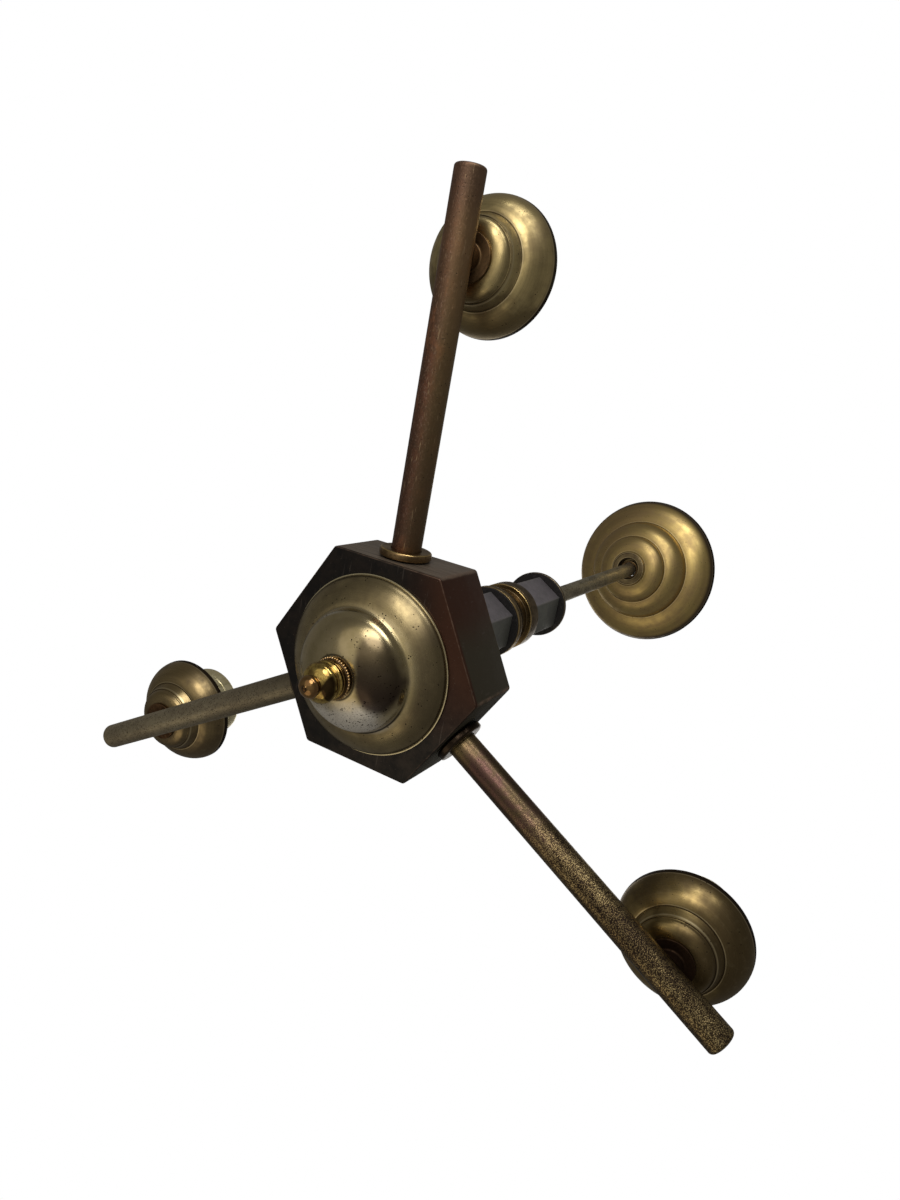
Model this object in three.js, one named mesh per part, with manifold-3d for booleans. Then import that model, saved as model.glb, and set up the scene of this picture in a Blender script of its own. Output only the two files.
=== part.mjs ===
// Three-armed hanging lamp of patinated brass and gunmetal, in millimetres, +Z up.
// The origin is the point where the ceiling hook bears on the hanging eye.
// A flat hexagonal hub carries three straight arms, each with a stepped cup and a lampholder.
// A column of hexagonal bars and turned spools rises from the hub to the stem and the canopy.
import * as THREE from 'three';
import { mergeVertices } from 'three/addons/utils/BufferGeometryUtils.js';
import Module from 'manifold-3d';

const wasm = await Module();
wasm.setup();

// Clearances
const seatGap = 0.3;
const boreGap = 0.3;
const armSeatGap = 0.75;
const cutterOverrun = 1;

// Screw thread of the central tube and the nipples, outer radius and bore
const threadRadius = 5;
const threadBore = 3.4;

// Hub, a hollow hexagonal box with a round mouth underneath
const hubCornerRadius = 74.1;
const hubHeight = 43.9;
const hubWall = 3;
const hubEdgeRounding = 1;
const hubCornerRounding = 2.5;
const hubMouthRadius = 44;
const hubNutCorner = 9.5;
const hubNutHeight = 4;
const hubWasherRadius = 12;
const hubWasherHeight = 1.2;

// Arms, plain tubes with a closed outer end, standing a little out of true.
// A turn above zero leans an arm's cup towards rising azimuth.
const armAzimuths = [90, 209.5, 328.4];
const armTurns = [0, 0, 2.8];
const armAxisHeight = 20.3;
const armTubeRadius = 9;
const armTubeWall = 2;
const armReach = 280;
const armTail = 7;
const plugFlange = 3;
const plugSpigot = 8;
const plugRounding = 1.6;
const collarRadius = 15.7;
const collarHeight = 4.8;
const collarRounding = 1.4;
const armNutCorner = 13.6;
const armNutHeight = 4;

// Stepped cup on each arm, from its floor outward: bead, band and bell
const cupSetback = 44;
const cupWall = 1;
const cupFloorHeight = 14;
const cupFloorRadius = 14.6;
const cupCapGap = 1.5;
const cupBeadRise = 5;
const cupBandFlare = 2.5;
const cupBandRise = 5.95;
const cupBellFlare = 13.7;
const cupBellRise = 17.9;
const cupLedge = 0.9;
const saddleRadius = 8;
const saddleFlangeRadius = 14.2;
const saddleFlangeHeight = 1.5;

// Lampholder in each cup, heights above the arm's axis
const nippleHeight = 19;
const nippleDepth = 5.2;
const capRadius = 21.5;
const capWall = 1;
const capHeight = 16;
const capShoulder = 12;
const coreHeight = 12;
const coreOverlap = 6;
const contactRadius = 4.5;
const contactHeight = 3;
const sleeveThreadRadius = 21.5;
const sleeveCollarStep = 0.8;
const sleeveWall = 7.9;
const sleeveCollarHeight = 18.5;
const sleeveThreadHeight = 15.9;
const sleeveRounding = 1.8;
const ringWall = 5.2;
const ringHeight = 15;
const ringRounding = 3;

// Cover under the hub and its finial nut, heights below the hub's underside
const coverWall = 1;
const coverCrownRadius = 36.9;
const coverCrownHeight = 19.8;
const coverStepLedge = 0.8;
const coverFlare = 15.5;
const coverFlareHeight = 12.7;
const coverLip = 1.9;
const beadRingRadius = 12;
const beadRingHeight = 2.6;
const finialHeadRadius = 10.2;
const finialHeadHeight = 1.8;
const finialNeckRadius = 8.2;
const finialNeckHeight = 1.8;
const finialBallRadius = 9.5;
const finialBallHeight = 11;
const finialBallStart = 40;
const finialBallEnd = 150;
const finialWaistRadius = 4.4;
const finialTipRadius = 5.3;
const finialTipStart = 50;
const finialBoreDepth = 14;
const finialThreadLength = 11;

// Column from the hub to the stem
const baseFlangeRadius = 27;
const baseFlangeHeight = 5;
const baseNeckRadius = 20;
const baseHeight = 18;
const hexBarCorner = 24.3;
const hexBarHeight = 49.5;
const hexBarTurn = 30;
const hexBarBevel = 0.5;
const spoolLowRadius = 27;
const spoolLowHeight = 6.5;
const spoolGrooveRadius = 22;
const spoolGrooveHeight = 18;
const spoolHighRadius = 26;
const spoolHighHeight = 14;
const spoolChamfer = 0.8;
const fibreRadius = 26.6;
const fibreHeight = 1.5;
const topDiscRadius = 27;
const topDiscHeight = 3;
const topNeckRadius = 10.5;
const topNeckHeight = 3.5;

// Stem and its hanging eye
const stemRadius = 7.3;
const stemWall = 2;
const stemLength = 262.4;
const stemThreadLength = 15;
const eyeRadius = 11;
const eyeWire = 2.5;
const eyeBossRadius = 7.3;
const eyeBossHeight = 5;
const eyeShankLength = 12;

// Canopy, leaning on a ring clamped to the stem, from its floor outward in three steps
const leanAngle = 9.7;
const leanAzimuth = 229.7;
const pivotBelowStemTop = 4.4;
const canopyWall = 1.2;
const canopyFloorRadius = 19.2;
const canopyFloorHeight = -8;
const canopyInnerFlare = 17.4;
const canopyInnerRise = 11.3;
const canopyMiddleFlare = 16.4;
const canopyMiddleRise = 19.3;
const canopyOuterFlare = 25;
const canopyOuterRise = 20.4;
const canopyLedge = 1;
const canopyLip = 0.7;
const bushFlangeRadius = 18.3;
const bushFlangeHeight = 2;
const bushBore = 11.6;
const bushWall = 1.2;
const bushLipGap = 0.9;
const bushLipHeight = 1.5;
const clampRadius = 9.8;
const clampHeight = 5;

// Wiring, the terminal block on the hub's floor and the leads to it
const leadRadius = 1.4;
const leadStep = 12;
const leadSides = 4;
const leadDrop = 4.2;
const leadLift = 5;
const leadEntry = 20;
const leadEntryLift = 2;
const leadLaid = 45;
const leadBeforeRise = 30;
const supplyStraights = 6;
const blockAzimuth = 30;
const blockDistance = 52;
const blockDepth = 12;
const blockWidth = 28;
const blockHeight = 12;
const blockScrewRow = 3;
const blockScrewPitch = 9;
const blockScrewBore = 1.8;
const blockScrewDepth = 5;
const windowLow = 20;
const windowHigh = 32;
const windowWidth = 4.4;

// Points of the supply lead past the window, distance from the axis and height above its sill
const supplyTurn = [[0, 16], [0, 12], [2.4, 6], [8.8, 1.6], [20, -3.2]];

// Points of each lamp lead inside the hub: distance from the axis, azimuth and height
const lampLoops = [
  [[44, 62, 22]],
  [[36, 340, 25], [28, 270, 25]],
  [[46, 0, 22]],
];

// Segment counts of round pieces
const small = 10;
const coarse = 16;
const medium = 20;
const fine = 22;
const largest = 30;

// Steps along curved stretches of a profile
const edgeSteps = 2;
const wideSteps = 3;
const rimSteps = 4;
const domeSteps = 5;
const ballSteps = 5;

// Thinnest that a mitred corner of spun sheet may be, as a share of its wall
const mitreLimit = 0.6;

const degrees = Math.PI / 180;
const halfSide = 30 * degrees;

// Materials
function finish(color, roughness, metalness) {
  return new THREE.MeshStandardMaterial({ color, roughness, metalness });
}
const finishes = {
  hubPatina: finish(0x33231a, 0.45, 0.8),
  armPatina: finish(0x5a4532, 0.5, 0.85),
  agedBrass: finish(0x7a6a3c, 0.35, 0.95),
  brownBrass: finish(0x6b5230, 0.4, 0.9),
  polishedBrass: finish(0xb9983f, 0.18, 1),
  paleBrass: finish(0xb8ad80, 0.4, 0.9),
  gunmetal: finish(0x3d4043, 0.55, 0.7),
  steel: finish(0x8c8b86, 0.4, 0.95),
  stemPatina: finish(0x6f684f, 0.5, 0.85),
  fibre: finish(0x111112, 0.8, 0),
  porcelain: finish(0xe6e0d2, 0.25, 0),
  insulation: finish(0x8a3b22, 0.7, 0),
};

// Turns any geometry into a closed solid whose faces point outward.
function closedSolid(geometry) {
  geometry.deleteAttribute('normal');
  geometry.deleteAttribute('uv');
  const merged = mergeVertices(geometry);
  const place = merged.getAttribute('position');
  const index = merged.getIndex().array;
  const kept = [];
  let volume = 0;
  const a = new THREE.Vector3();
  const b = new THREE.Vector3();
  const c = new THREE.Vector3();
  for (let i = 0; i < index.length; i += 3) {
    const [p, q, r] = [index[i], index[i + 1], index[i + 2]];
    if (p === q || q === r || r === p) continue;
    kept.push(p, q, r);
    a.fromBufferAttribute(place, p);
    b.fromBufferAttribute(place, q);
    c.fromBufferAttribute(place, r);
    volume += a.dot(b.cross(c));
  }
  if (volume < 0) kept.reverse();
  merged.setIndex(kept);
  return merged;
}

// Booleans on closed solids
function toManifold(geometry) {
  const vertProperties = Float32Array.from(geometry.getAttribute('position').array);
  const triVerts = Uint32Array.from(geometry.getIndex().array);
  return new wasm.Manifold(new wasm.Mesh({ numProp: 3, vertProperties, triVerts }));
}

function fromManifold(body) {
  const mesh = body.getMesh();
  const geometry = new THREE.BufferGeometry();
  geometry.setAttribute('position', new THREE.BufferAttribute(mesh.vertProperties, 3));
  geometry.setIndex(new THREE.BufferAttribute(mesh.triVerts, 1));
  return geometry;
}

function cut(geometry, tools) {
  let body = toManifold(geometry);
  for (const tool of tools) body = body.subtract(toManifold(tool));
  return fromManifold(body);
}

function join(geometries) {
  let body = toManifold(geometries[0]);
  for (const other of geometries.slice(1)) body = body.add(toManifold(other));
  return fromManifold(body);
}

// Revolves [radius, height] points about Z. A profile off the axis closes on itself.
function turned(profile, segments) {
  const first = profile[0];
  const last = profile[profile.length - 1];
  const onAxis = first[0] === 0 && last[0] === 0;
  const loop = onAxis ? profile : [...profile, first];
  const points = loop.map(([radius, height]) => new THREE.Vector2(radius, height));
  const geometry = new THREE.LatheGeometry(points, segments);
  geometry.rotateX(Math.PI / 2);
  return closedSolid(geometry);
}

// A plain round bar standing on low
function bar(radius, low, high, segments = coarse) {
  return turned([[0, low], [radius, low], [radius, high], [0, high]], segments);
}

// A plain ring standing on low
function hoop(inner, outer, low, high, segments = medium) {
  return turned([[inner, low], [outer, low], [outer, high], [inner, high]], segments);
}

// Points of a quarter ellipse that leaves the first point level and reaches the second upright.
function swell(from, to, steps) {
  const points = [];
  for (let i = 0; i <= steps; i += 1) {
    const angle = (i / steps) * Math.PI / 2;
    const radius = from[0] + (to[0] - from[0]) * Math.sin(angle);
    const height = to[1] - (to[1] - from[1]) * Math.cos(angle);
    points.push([radius, height]);
  }
  return points;
}

// Thickens an open profile to its left side and closes it, for spun sheet.
function sheet(profile, wall) {
  const inner = profile.map((point, i) => {
    const before = profile[Math.max(i - 1, 0)];
    const after = profile[Math.min(i + 1, profile.length - 1)];
    const along = new THREE.Vector2(point[0] - before[0], point[1] - before[1]).normalize();
    const onward = new THREE.Vector2(after[0] - point[0], after[1] - point[1]).normalize();
    const mean = along.clone().add(onward).normalize();
    const reference = along.lengthSq() > 0 ? along : onward;
    const mitre = Math.max(mean.dot(reference), mitreLimit);
    return [point[0] - (mean.y * wall) / mitre, point[1] + (mean.x * wall) / mitre];
  });
  return [...profile, ...inner.reverse()];
}

// A regular hexagon with its first corner on +X, its corners rounded by arcs where asked
function hexagon(corner, rounding = 0) {
  const outline = new THREE.Shape();
  const reach = rounding / Math.cos(halfSide);
  for (let i = 0; i < 6; i += 1) {
    const angle = i * 2 * halfSide;
    const centre = corner - reach;
    const x = centre * Math.cos(angle);
    const y = centre * Math.sin(angle);
    if (rounding > 0) {
      outline.absarc(x, y, rounding, angle - halfSide, angle + halfSide, false);
    } else if (i === 0) {
      outline.moveTo(x, y);
    } else {
      outline.lineTo(x, y);
    }
  }
  outline.closePath();
  return outline;
}

// A hexagonal prism standing on low, with small bevels and an optional round bore
function hexPrism(corner, low, high, { bevel = 0, rounding = 0, bore = 0 } = {}) {
  const outline = hexagon(corner - bevel / Math.cos(halfSide), rounding);
  const geometry = new THREE.ExtrudeGeometry(outline, {
    depth: high - low - 2 * bevel,
    bevelEnabled: bevel > 0,
    bevelThickness: bevel,
    bevelSize: bevel,
    bevelSegments: 1,
    curveSegments: edgeSteps,
  });
  geometry.translate(0, 0, low + bevel);
  const solid = closedSolid(geometry);
  if (bore === 0) return solid;
  return cut(solid, [bar(bore, low - cutterOverrun, high + cutterOverrun)]);
}

// A round lead swept along a smooth curve through the points
function lead(points) {
  const curve = new THREE.CatmullRomCurve3(points, false, 'centripetal');
  const section = new THREE.Shape();
  for (let i = 0; i < leadSides; i += 1) {
    const angle = (i / leadSides) * 2 * Math.PI;
    const x = leadRadius * Math.cos(angle);
    const y = leadRadius * Math.sin(angle);
    if (i === 0) section.moveTo(x, y);
    else section.lineTo(x, y);
  }
  section.closePath();
  const steps = Math.ceil(curve.getLength() / leadStep);
  return closedSolid(new THREE.ExtrudeGeometry(section, { steps, extrudePath: curve }));
}

function named(name, geometry, material) {
  const mesh = new THREE.Mesh(geometry, material);
  mesh.name = name;
  return mesh;
}

// Reach of the cups, and heights of the stack above the hub's underside
const hubApothem = hubCornerRadius * Math.cos(halfSide);
const cupReach = armReach - cupSetback;
const tubeBore = threadRadius + boreGap;
const baseLow = hubHeight + seatGap;
const lowerSpoolLow = baseLow + baseHeight + seatGap;
const spoolHeight = spoolLowHeight + spoolGrooveHeight + spoolHighHeight;
const lowerHexLow = lowerSpoolLow + spoolHeight + seatGap;
const lowerFibreLow = lowerHexLow + hexBarHeight + seatGap;
const upperSpoolLow = lowerFibreLow + fibreHeight + seatGap;
const upperHexLow = upperSpoolLow + spoolHeight + seatGap;
const upperFibreLow = upperHexLow + hexBarHeight + seatGap;
const topDiscLow = upperFibreLow + fibreHeight + seatGap;
const stemLow = topDiscLow + topDiscHeight + topNeckHeight + seatGap;
const stemHigh = stemLow + stemLength;
const pivotHeight = stemHigh - pivotBelowStemTop;
const eyeCentre = stemHigh + seatGap + eyeBossHeight + eyeRadius;
const hookHeight = eyeCentre + eyeRadius - eyeWire;
const coverRimLow = -(seatGap + coverWall);
const coverStepLow = coverRimLow - coverFlareHeight - coverStepLedge / 2;
const coverLow = coverStepLow - coverCrownHeight;
const beadRingHigh = coverLow - seatGap;
const finialHigh = beadRingHigh - beadRingHeight - seatGap;
const centreTubeLow = finialHigh - finialThreadLength;

// Hub
function hubShell() {
  const outside = hexPrism(hubCornerRadius, 0, hubHeight, {
    bevel: hubEdgeRounding,
    rounding: hubCornerRounding,
  });
  const innerApothem = hubApothem - hubWall;
  const tools = [
    hexPrism(innerApothem / Math.cos(halfSide), hubWall, hubHeight - hubWall),
    bar(hubMouthRadius, -cutterOverrun, hubWall + cutterOverrun, largest),
    bar(tubeBore, hubHeight - hubWall - cutterOverrun, hubHeight + cutterOverrun),
  ];
  for (const azimuth of armAzimuths) {
    const hole = bar(
      armTubeRadius + boreGap,
      innerApothem - cutterOverrun,
      hubApothem + cutterOverrun,
      medium,
    );
    hole.rotateY(Math.PI / 2);
    hole.rotateZ(azimuth * degrees);
    hole.translate(0, 0, armAxisHeight);
    tools.push(hole);
  }
  return cut(outside, tools);
}

function centreTube() {
  const tube = hoop(threadBore, threadRadius, centreTubeLow, stemLow + stemThreadLength, coarse);
  const window = new THREE.BoxGeometry(threadRadius * 2, windowWidth, windowHigh - windowLow);
  window.translate(threadRadius, 0, (windowLow + windowHigh) / 2);
  window.rotateZ(blockAzimuth * degrees);
  return cut(tube, [closedSolid(window)]);
}

function terminalBlock() {
  const body = new THREE.BoxGeometry(blockDepth, blockWidth, blockHeight);
  body.translate(0, 0, blockHeight / 2);
  const tools = [-1, 0, 1].map((i) => {
    const bore = bar(
      blockScrewBore,
      blockHeight - blockScrewDepth,
      blockHeight + cutterOverrun,
      small,
    );
    bore.translate(-blockScrewRow, i * blockScrewPitch, 0);
    return bore;
  });
  return cut(closedSolid(body), tools);
}

function buildHub() {
  const hub = new THREE.Group();
  hub.add(named('hub_shell', hubShell(), finishes.hubPatina));
  const washerHigh = hubHeight - hubWall - seatGap;
  const nutHigh = washerHigh - hubWasherHeight - seatGap;
  const washer = hoop(tubeBore, hubWasherRadius, washerHigh - hubWasherHeight, washerHigh, coarse);
  hub.add(named('hub_washer', washer, finishes.steel));
  const nut = hexPrism(hubNutCorner, nutHigh - hubNutHeight, nutHigh, { bore: tubeBore });
  hub.add(named('hub_locknut', nut, finishes.steel));
  hub.add(named('centre_tube', centreTube(), finishes.steel));
  const block = named('terminal_block', terminalBlock(), finishes.porcelain);
  block.rotation.z = blockAzimuth * degrees;
  block.position.set(
    blockDistance * Math.cos(blockAzimuth * degrees),
    blockDistance * Math.sin(blockAzimuth * degrees),
    hubWall + seatGap,
  );
  hub.add(block);
  return hub;
}

// One arm, built along +X with its axis at height zero
function armTube() {
  const outerEnd = armReach - plugFlange - seatGap;
  const innerEnd = hubApothem - hubWall - armTail;
  const tube = hoop(armTubeRadius - armTubeWall, armTubeRadius, innerEnd, outerEnd, medium);
  tube.rotateY(Math.PI / 2);
  const hole = bar(tubeBore, 0, armTubeRadius + cutterOverrun);
  hole.translate(cupReach, 0, 0);
  return cut(tube, [hole]);
}

function armPlug() {
  const flangeLow = armReach - plugFlange;
  const spigot = armTubeRadius - armTubeWall - boreGap;
  const edge = swell([armTubeRadius - plugRounding, 0], [armTubeRadius, plugRounding], edgeSteps);
  const rounded = edge.map(([radius, depth]) => [radius, armReach - depth]).reverse();
  const profile = [
    [0, flangeLow - plugSpigot],
    [spigot, flangeLow - plugSpigot],
    [spigot, flangeLow],
    [armTubeRadius, flangeLow],
    ...rounded,
    [0, armReach],
  ];
  const plug = turned(profile, medium);
  plug.rotateY(Math.PI / 2);
  return plug;
}

function armCollar() {
  const low = hubApothem + armSeatGap;
  const high = low + collarHeight;
  const bore = armTubeRadius + boreGap;
  const edge = swell([collarRadius - collarRounding, 0], [collarRadius, collarRounding], edgeSteps);
  const upper = edge.map(([radius, depth]) => [radius, high - depth]).reverse();
  const lower = edge.map(([radius, depth]) => [radius, low + depth]);
  const collar = turned([[bore, low], ...lower, ...upper, [bore, high]], coarse);
  collar.rotateY(Math.PI / 2);
  return collar;
}

function armLocknut() {
  const high = hubApothem - hubWall - armSeatGap;
  const nut = hexPrism(armNutCorner, high - armNutHeight, high, { bore: armTubeRadius + boreGap });
  nut.rotateY(Math.PI / 2);
  return nut;
}

// The saddle fits the round of the tube underneath and carries the cup on its flange.
function cupSaddle() {
  const flangeHigh = cupFloorHeight - seatGap;
  const flangeLow = flangeHigh - saddleFlangeHeight;
  const profile = [
    [0, 0],
    [saddleRadius, 0],
    [saddleRadius, flangeLow],
    [saddleFlangeRadius, flangeLow],
    [saddleFlangeRadius, flangeHigh],
    [0, flangeHigh],
  ];
  const tube = bar(armTubeRadius + seatGap, -saddleFlangeRadius, saddleFlangeRadius, medium);
  tube.rotateY(Math.PI / 2);
  return cut(turned(profile, coarse), [tube, bar(tubeBore, 0, flangeHigh + cutterOverrun)]);
}

function cupProfile() {
  const beadRadius = capRadius + cupCapGap;
  const beadHeight = cupFloorHeight + cupBeadRise;
  const bandLow = [beadRadius + cupLedge, beadHeight + cupLedge / 2];
  const bandHigh = [bandLow[0] + cupBandFlare, bandLow[1] + cupBandRise];
  const bellLow = [bandHigh[0] + cupLedge, bandHigh[1] + cupLedge / 2];
  return [
    [tubeBore, cupFloorHeight],
    ...swell([cupFloorRadius, cupFloorHeight], [beadRadius, beadHeight], edgeSteps),
    bandLow,
    bandHigh,
    ...swell(bellLow, [bellLow[0] + cupBellFlare, bellLow[1] + cupBellRise], rimSteps),
  ];
}

// Lampholder pieces stack up from the cup's floor.
const capLow = cupFloorHeight + cupWall + seatGap;
const capHigh = capLow + capHeight;
const coreLow = capHigh - coreOverlap;
const coreHigh = coreLow + coreHeight;
const sleeveLow = coreHigh + seatGap;
const sleeveShoulder = sleeveLow + sleeveCollarHeight;
const sleeveHigh = sleeveShoulder + sleeveThreadHeight;

function lampholderCap() {
  const outline = [
    [tubeBore, capLow],
    ...swell([capShoulder, capLow], [capRadius, capHigh - coreOverlap], edgeSteps),
    [capRadius, capHigh],
  ];
  return turned(sheet(outline, capWall), coarse);
}

function lampholderCore() {
  const radius = capRadius - capWall - boreGap;
  const profile = [
    [threadBore, coreLow],
    [radius, coreLow],
    [radius, coreHigh],
    [contactRadius, coreHigh],
    [contactRadius, coreHigh + contactHeight],
    [threadBore, coreHigh + contactHeight],
  ];
  return turned(profile, coarse);
}

function lampholderSleeve() {
  const bore = sleeveThreadRadius - sleeveWall;
  const collar = sleeveThreadRadius + sleeveCollarStep;
  const edge = swell(
    [sleeveThreadRadius - sleeveRounding, 0],
    [sleeveThreadRadius, sleeveRounding],
    edgeSteps,
  );
  const rounded = edge.map(([radius, depth]) => [radius, sleeveHigh - depth]).reverse();
  const profile = [
    [bore, sleeveLow],
    [collar, sleeveLow],
    [collar, sleeveShoulder],
    [sleeveThreadRadius, sleeveShoulder],
    ...rounded,
    [bore, sleeveHigh],
  ];
  return turned(profile, medium);
}

function shadeRing() {
  const low = sleeveShoulder + seatGap;
  const high = low + ringHeight;
  const bore = sleeveThreadRadius + boreGap;
  const outer = bore + ringWall;
  const edge = swell([outer - ringRounding, 0], [outer, ringRounding], edgeSteps);
  const upper = edge.map(([radius, depth]) => [radius, high - depth]).reverse();
  return turned([[bore, low], [outer, low], ...upper, [bore, high]], medium);
}

function buildArm(number) {
  const arm = new THREE.Group();
  arm.add(named(`arm_tube_${number}`, armTube(), finishes.armPatina));
  arm.add(named(`arm_plug_${number}`, armPlug(), finishes.armPatina));
  arm.add(named(`arm_collar_${number}`, armCollar(), finishes.brownBrass));
  arm.add(named(`arm_locknut_${number}`, armLocknut(), finishes.steel));

  const cup = new THREE.Group();
  cup.position.x = cupReach;
  cup.add(named(`cup_saddle_${number}`, cupSaddle(), finishes.brownBrass));
  const nipple = hoop(threadBore, threadRadius, nippleDepth, nippleHeight, coarse);
  cup.add(named(`cup_nipple_${number}`, nipple, finishes.steel));
  cup.add(named(`bell_cup_${number}`, turned(sheet(cupProfile(), cupWall), fine), finishes.agedBrass));
  cup.add(named(`lampholder_cap_${number}`, lampholderCap(), finishes.paleBrass));
  cup.add(named(`lampholder_core_${number}`, lampholderCore(), finishes.porcelain));
  cup.add(named(`lampholder_sleeve_${number}`, lampholderSleeve(), finishes.paleBrass));
  cup.add(named(`shade_ring_${number}`, shadeRing(), finishes.paleBrass));
  arm.add(cup);
  return arm;
}

// Column
function spool(low) {
  const grooveLow = low + spoolLowHeight;
  const grooveHigh = grooveLow + spoolGrooveHeight;
  const high = grooveHigh + spoolHighHeight;
  const profile = [
    [tubeBore, low],
    [spoolLowRadius - spoolChamfer, low],
    [spoolLowRadius, low + spoolChamfer],
    [spoolLowRadius, grooveLow - spoolChamfer],
    [spoolLowRadius - spoolChamfer, grooveLow],
    [spoolGrooveRadius, grooveLow],
    [spoolGrooveRadius, grooveHigh],
    [spoolHighRadius - spoolChamfer, grooveHigh],
    [spoolHighRadius, grooveHigh + spoolChamfer],
    [spoolHighRadius, high - spoolChamfer],
    [spoolHighRadius - spoolChamfer, high],
    [tubeBore, high],
  ];
  return turned(profile, fine);
}

function hexBar(low) {
  const options = { bevel: hexBarBevel, bore: tubeBore };
  const prism = hexPrism(hexBarCorner, low, low + hexBarHeight, options);
  prism.rotateZ(hexBarTurn * degrees);
  return prism;
}

function baseFlange() {
  const step = baseLow + baseFlangeHeight;
  const high = baseLow + baseHeight;
  const profile = [
    [tubeBore, baseLow],
    [baseFlangeRadius, baseLow],
    [baseFlangeRadius, step - spoolChamfer],
    [baseFlangeRadius - spoolChamfer, step],
    [baseNeckRadius, step],
    [baseNeckRadius, high],
    [tubeBore, high],
  ];
  return turned(profile, fine);
}

function topDisc() {
  const step = topDiscLow + topDiscHeight;
  const high = step + topNeckHeight;
  const profile = [
    [tubeBore, topDiscLow],
    [topDiscRadius, topDiscLow],
    [topDiscRadius, step - spoolChamfer],
    [topDiscRadius - spoolChamfer, step],
    [topNeckRadius, step],
    [topNeckRadius, high],
    [tubeBore, high],
  ];
  return turned(profile, fine);
}

function hangingEye() {
  const bossLow = stemHigh + seatGap;
  const ring = new THREE.TorusGeometry(eyeRadius, eyeWire, small, coarse);
  ring.rotateX(Math.PI / 2);
  ring.translate(0, 0, eyeCentre);
  const boss = bar(eyeBossRadius, bossLow, bossLow + eyeBossHeight);
  const shankLow = bossLow - eyeShankLength;
  const shank = bar(threadRadius, shankLow, bossLow + cutterOverrun);
  const body = join([closedSolid(ring), boss, shank]);
  return cut(body, [bar(threadBore, shankLow - cutterOverrun, eyeCentre)]);
}

function buildColumn() {
  const column = new THREE.Group();
  column.add(named('base_flange', baseFlange(), finishes.brownBrass));
  column.add(named('lower_spool', spool(lowerSpoolLow), finishes.brownBrass));
  column.add(named('lower_hex_bar', hexBar(lowerHexLow), finishes.gunmetal));
  const lowerFibre = hoop(tubeBore, fibreRadius, lowerFibreLow, lowerFibreLow + fibreHeight, fine);
  column.add(named('lower_fibre_washer', lowerFibre, finishes.fibre));
  column.add(named('upper_spool', spool(upperSpoolLow), finishes.brownBrass));
  column.add(named('upper_hex_bar', hexBar(upperHexLow), finishes.gunmetal));
  const upperFibre = hoop(tubeBore, fibreRadius, upperFibreLow, upperFibreLow + fibreHeight, fine);
  column.add(named('upper_fibre_washer', upperFibre, finishes.fibre));
  column.add(named('top_disc', topDisc(), finishes.brownBrass));
  const stem = hoop(stemRadius - stemWall, stemRadius, stemLow, stemHigh, medium);
  column.add(named('stem_tube', stem, finishes.stemPatina));
  column.add(named('hanging_eye', hangingEye(), finishes.steel));
  return column;
}

// Cover and finial, heights measured from the hub's underside
function domeCover() {
  const flareLow = [coverCrownRadius + coverStepLedge, coverStepLow + coverStepLedge / 2];
  const rim = flareLow[0] + coverFlare;
  const profile = [
    [tubeBore, coverLow],
    ...swell([0, coverLow], [coverCrownRadius, coverStepLow], domeSteps).slice(1),
    ...swell(flareLow, [rim, coverRimLow], wideSteps),
    [rim + coverLip, coverRimLow],
  ];
  return turned(sheet(profile, coverWall), largest);
}

function finial() {
  const headLow = finialHigh - finialHeadHeight;
  const neckLow = headLow - finialNeckHeight;
  const ballLow = neckLow - finialBallHeight;
  const ball = [];
  for (let i = 0; i <= ballSteps; i += 1) {
    const part = i / ballSteps;
    const angle = (finialBallStart + part * (finialBallEnd - finialBallStart)) * degrees;
    const radius = Math.max(finialBallRadius * Math.sin(angle), finialWaistRadius);
    ball.push([radius, neckLow - part * finialBallHeight]);
  }
  const tipCentre = ballLow - finialTipRadius * Math.cos(finialTipStart * degrees);
  const tip = [];
  for (let i = 0; i < ballSteps; i += 1) {
    const angle = (finialTipStart + (i / ballSteps) * (180 - finialTipStart)) * degrees;
    tip.push([finialTipRadius * Math.sin(angle), tipCentre + finialTipRadius * Math.cos(angle)]);
  }
  tip.push([0, tipCentre - finialTipRadius]);
  const profile = [
    [0, finialHigh],
    [finialHeadRadius, finialHigh],
    [finialHeadRadius, headLow],
    [finialNeckRadius, headLow],
    [finialNeckRadius, neckLow],
    ...ball,
    ...tip,
  ];
  const bore = bar(tubeBore, finialHigh - finialBoreDepth, finialHigh + cutterOverrun);
  return cut(turned(profile, medium), [bore]);
}

function buildCover() {
  const cover = new THREE.Group();
  cover.add(named('dome_cover', domeCover(), finishes.agedBrass));
  const low = beadRingHigh - beadRingHeight;
  cover.add(named('bead_ring', hoop(tubeBore, beadRingRadius, low, beadRingHigh), finishes.polishedBrass));
  cover.add(named('finial', finial(), finishes.polishedBrass));
  return cover;
}

// Canopy, in its own frame with the pivot of the lean at the origin
function canopyProfile() {
  const flares = [
    [canopyInnerFlare, canopyInnerRise, wideSteps],
    [canopyMiddleFlare, canopyMiddleRise, wideSteps],
    [canopyOuterFlare, canopyOuterRise, rimSteps],
  ];
  const profile = [[bushBore + bushWall + boreGap, canopyFloorHeight]];
  let [radius, height] = [canopyFloorRadius, canopyFloorHeight];
  for (const [flare, rise, steps] of flares) {
    profile.push(...swell([radius, height], [radius + flare, height + rise], steps));
    radius += flare + canopyLedge;
    height += rise + canopyLedge / 2;
  }
  profile.push([radius - canopyLedge + canopyLip, height - canopyLedge / 2 + canopyLip]);
  return profile;
}

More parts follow.
